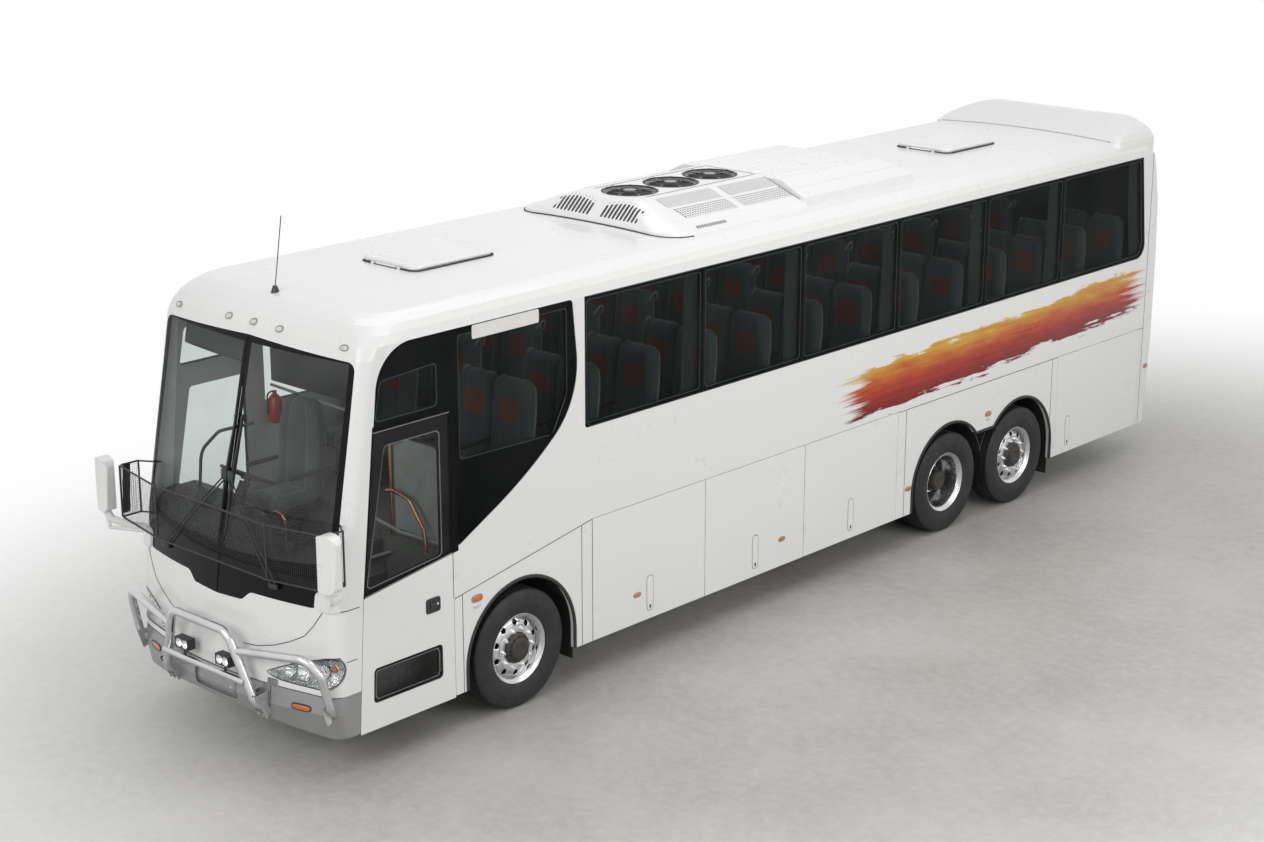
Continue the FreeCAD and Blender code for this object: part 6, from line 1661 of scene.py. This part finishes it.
shelfTop = joinShapes(*[roundBox((x - 0.06, -5.78, 1.49), (x + 0.06, -5.7, 1.53), 0.015, 2)
                        for x in (0.1, 0.5, 0.9)])
addPiece("dashFittings", [(hump, dashPlastic), (dialFace, blackTrim), (keys, greyPlastic),
                          (vents, blackPlastic), (shelfTop, blackPlastic)], sharp=45)
print("stage: curtains, rails and cab made")

# Rear: tail lamp frames, plate, marker lamps, reflectors, handle, louvres of the engine door and its lines.
rear = {"lampZ": (0.86, 1.5), "slats": 15, "slatZ": (0.86, 1.3), "slatX": (0.12, 0.8)}
lampMiddleZ = (rear["lampZ"][0] + rear["lampZ"][1]) / 2
lampHalfZ = (rear["lampZ"][1] - rear["lampZ"][0]) / 2
rearParts = [
    (bothSides(surfaceRing(tailPoint, 1.1, lampMiddleZ, 0.093, lampHalfZ + 0.003, 0.012, 0.006, 9.0)),
     blackPlastic),
    (bothSides(joinShapes(*[surfaceStrip(tailPoint, [(1.015, z), (1.185, z)], 0.01, 0.004, 0.01, 0.03)
                            for z in (1.07, 1.28)])), blackPlastic),
    (bothSides(surfaceDome(tailPoint, 1.02, 0.56, 0.07, 0.028, 0.01, 5.0)), redLens),
    (bothSides(surfaceRing(tailPoint, 1.02, 0.56, 0.07, 0.028, 0.008, 0.008, 5.0)), greyPlastic),
    (bothSides(joinShapes(surfaceDome(tailPoint, 1.0, 3.3, 0.045, 0.016, 0.014, 3.0),
                          surfaceDome(tailPoint, 0.06, 3.3, 0.055, 0.016, 0.012, 4.0))), redLens),
    (joinShapes(surfaceStrip(tailPoint, [(-0.995, 2.13), (0.995, 2.13)], 0.006, 0.0012, 0.01, 0.05),
                surfaceStrip(tailPoint, [(-1.16, 0.8), (-0.92, 0.8)], 0.006, 0.0012),
                surfaceStrip(tailPoint, [(0.92, 0.8), (1.16, 0.8)], 0.006, 0.0012)), seamRubber),
    (surfaceStrip(tailPoint, [(-0.982, 2.328), (0.982, 2.328), (0.943, 3.182), (-0.943, 3.182)], 0.022,
                  0.004, 0.07, 0.05, True), seamRubber),
]
addPiece("rearFittings", rearParts, sharp=50)
slatShapes = []
for i in range(rear["slats"]):
    z = rear["slatZ"][0] + (rear["slatZ"][1] - rear["slatZ"][0]) * (i + 0.5) / rear["slats"]
    ends = [(rear["slatX"][0] + 0.012, z), (rear["slatX"][1] - 0.012, z)]
    slatShapes.append(surfaceStrip(tailPoint, ends, 0.017, 0.006, 0.01, 0.06))
field = surfaceDome(tailPoint, 0.46, 1.08, 0.34, 0.225, 0.0015, 16.0, 56)
fieldRim = surfaceRing(tailPoint, 0.46, 1.08, 0.34, 0.225, 0.014, 0.007, 16.0, 56)
plateMiddle, plateHalf = 1.52, (0.24, 0.065)
doorParts = [
    (bothSides(field), blackPlastic), (bothSides(fieldRim), whitePaint),
    (bothSides(joinShapes(*slatShapes)), blackMetal),
    (surfaceDome(tailPoint, 0.0, plateMiddle, *plateHalf, 0.005, 16.0, 48), signPlate),
    (surfaceRing(tailPoint, 0.0, plateMiddle, *plateHalf, 0.012, 0.008, 16.0, 48), blackPlastic),
    (bothSides(surfaceDome(tailPoint, 0.1, plateMiddle + 0.1, 0.032, 0.014, 0.018, 4.0)), blackPlastic),
    (surfaceDome(tailPoint, 0.0, 0.72, 0.075, 0.03, 0.003, 6.0), blackPlastic),
    (surfaceRing(tailPoint, 0.0, 0.72, 0.075, 0.03, 0.01, 0.007, 6.0), blackMetal),
]
addPiece("engineDoorFittings", doorParts, "engine_door", sharp=50)

# Under the floor: propeller shaft with its joints, exhaust, air tanks, brake chambers and pipes.
joint = [(-0.05, 0), (-0.05, 0.05), (-0.02, 0.072), (0.02, 0.072), (0.05, 0.05), (0.05, 0)]
shaft = joinShapes(rodShape((0, 4.41, 0.7), (0, 2.62, 0.6), 0.045, 20),
                   *[turnedShape(joint, at, (0, 1, 0), 20) for at in ((0, 4.3, 0.695), (0, 2.7, 0.606))])
exhaust = bentTube([(-0.3, 5.79, 0.9), (-0.3, 5.95, 0.9), (-0.45, 6.02, 0.62), (-0.55, 6.03, 0.42),
                    (-0.56, 6.16, 0.4)], 0.08, 0.045, 20)
silencer = turnedShape([(-0.3, 0), (-0.3, 0.1), (-0.28, 0.13), (0.28, 0.13), (0.3, 0.1), (0.3, 0)],
                       (-0.66, 5.4, 0.56), (0, 1, 0), 28)
tank = [(-0.26, 0), (-0.25, 0.06), (-0.21, 0.1), (0.21, 0.1), (0.25, 0.06), (0.26, 0)]
airTanks = joinShapes(*[turnedShape(tank, (x, 5.0, 0.52), (0, 1, 0), 24) for x in (0.62, 0.86)])
pipes = joinShapes(*[rodShape((x, -5.4, 0.68), (x, -3.2, 0.68), 0.008, 8) for x in (0.3, 0.33, 0.36)])
chamber = [(-0.07, 0), (-0.07, 0.05), (-0.05, 0.075), (0.02, 0.075), (0.03, 0.082), (0.05, 0.07),
           (0.09, 0.055), (0.09, 0)]
chambers = joinShapes(*[turnedShape(chamber, (x, 2.1, 0.58), (0, -1, 0), 20) for x in (-0.6, 0.6)])
addPiece("runningGear", [(shaft, castIron), (joinShapes(exhaust, silencer), castIron),
                         (joinShapes(airTanks, pipes), chassisPaint), (chambers, blackMetal)],
         sharp=40)
print("stage: rear and underside made")
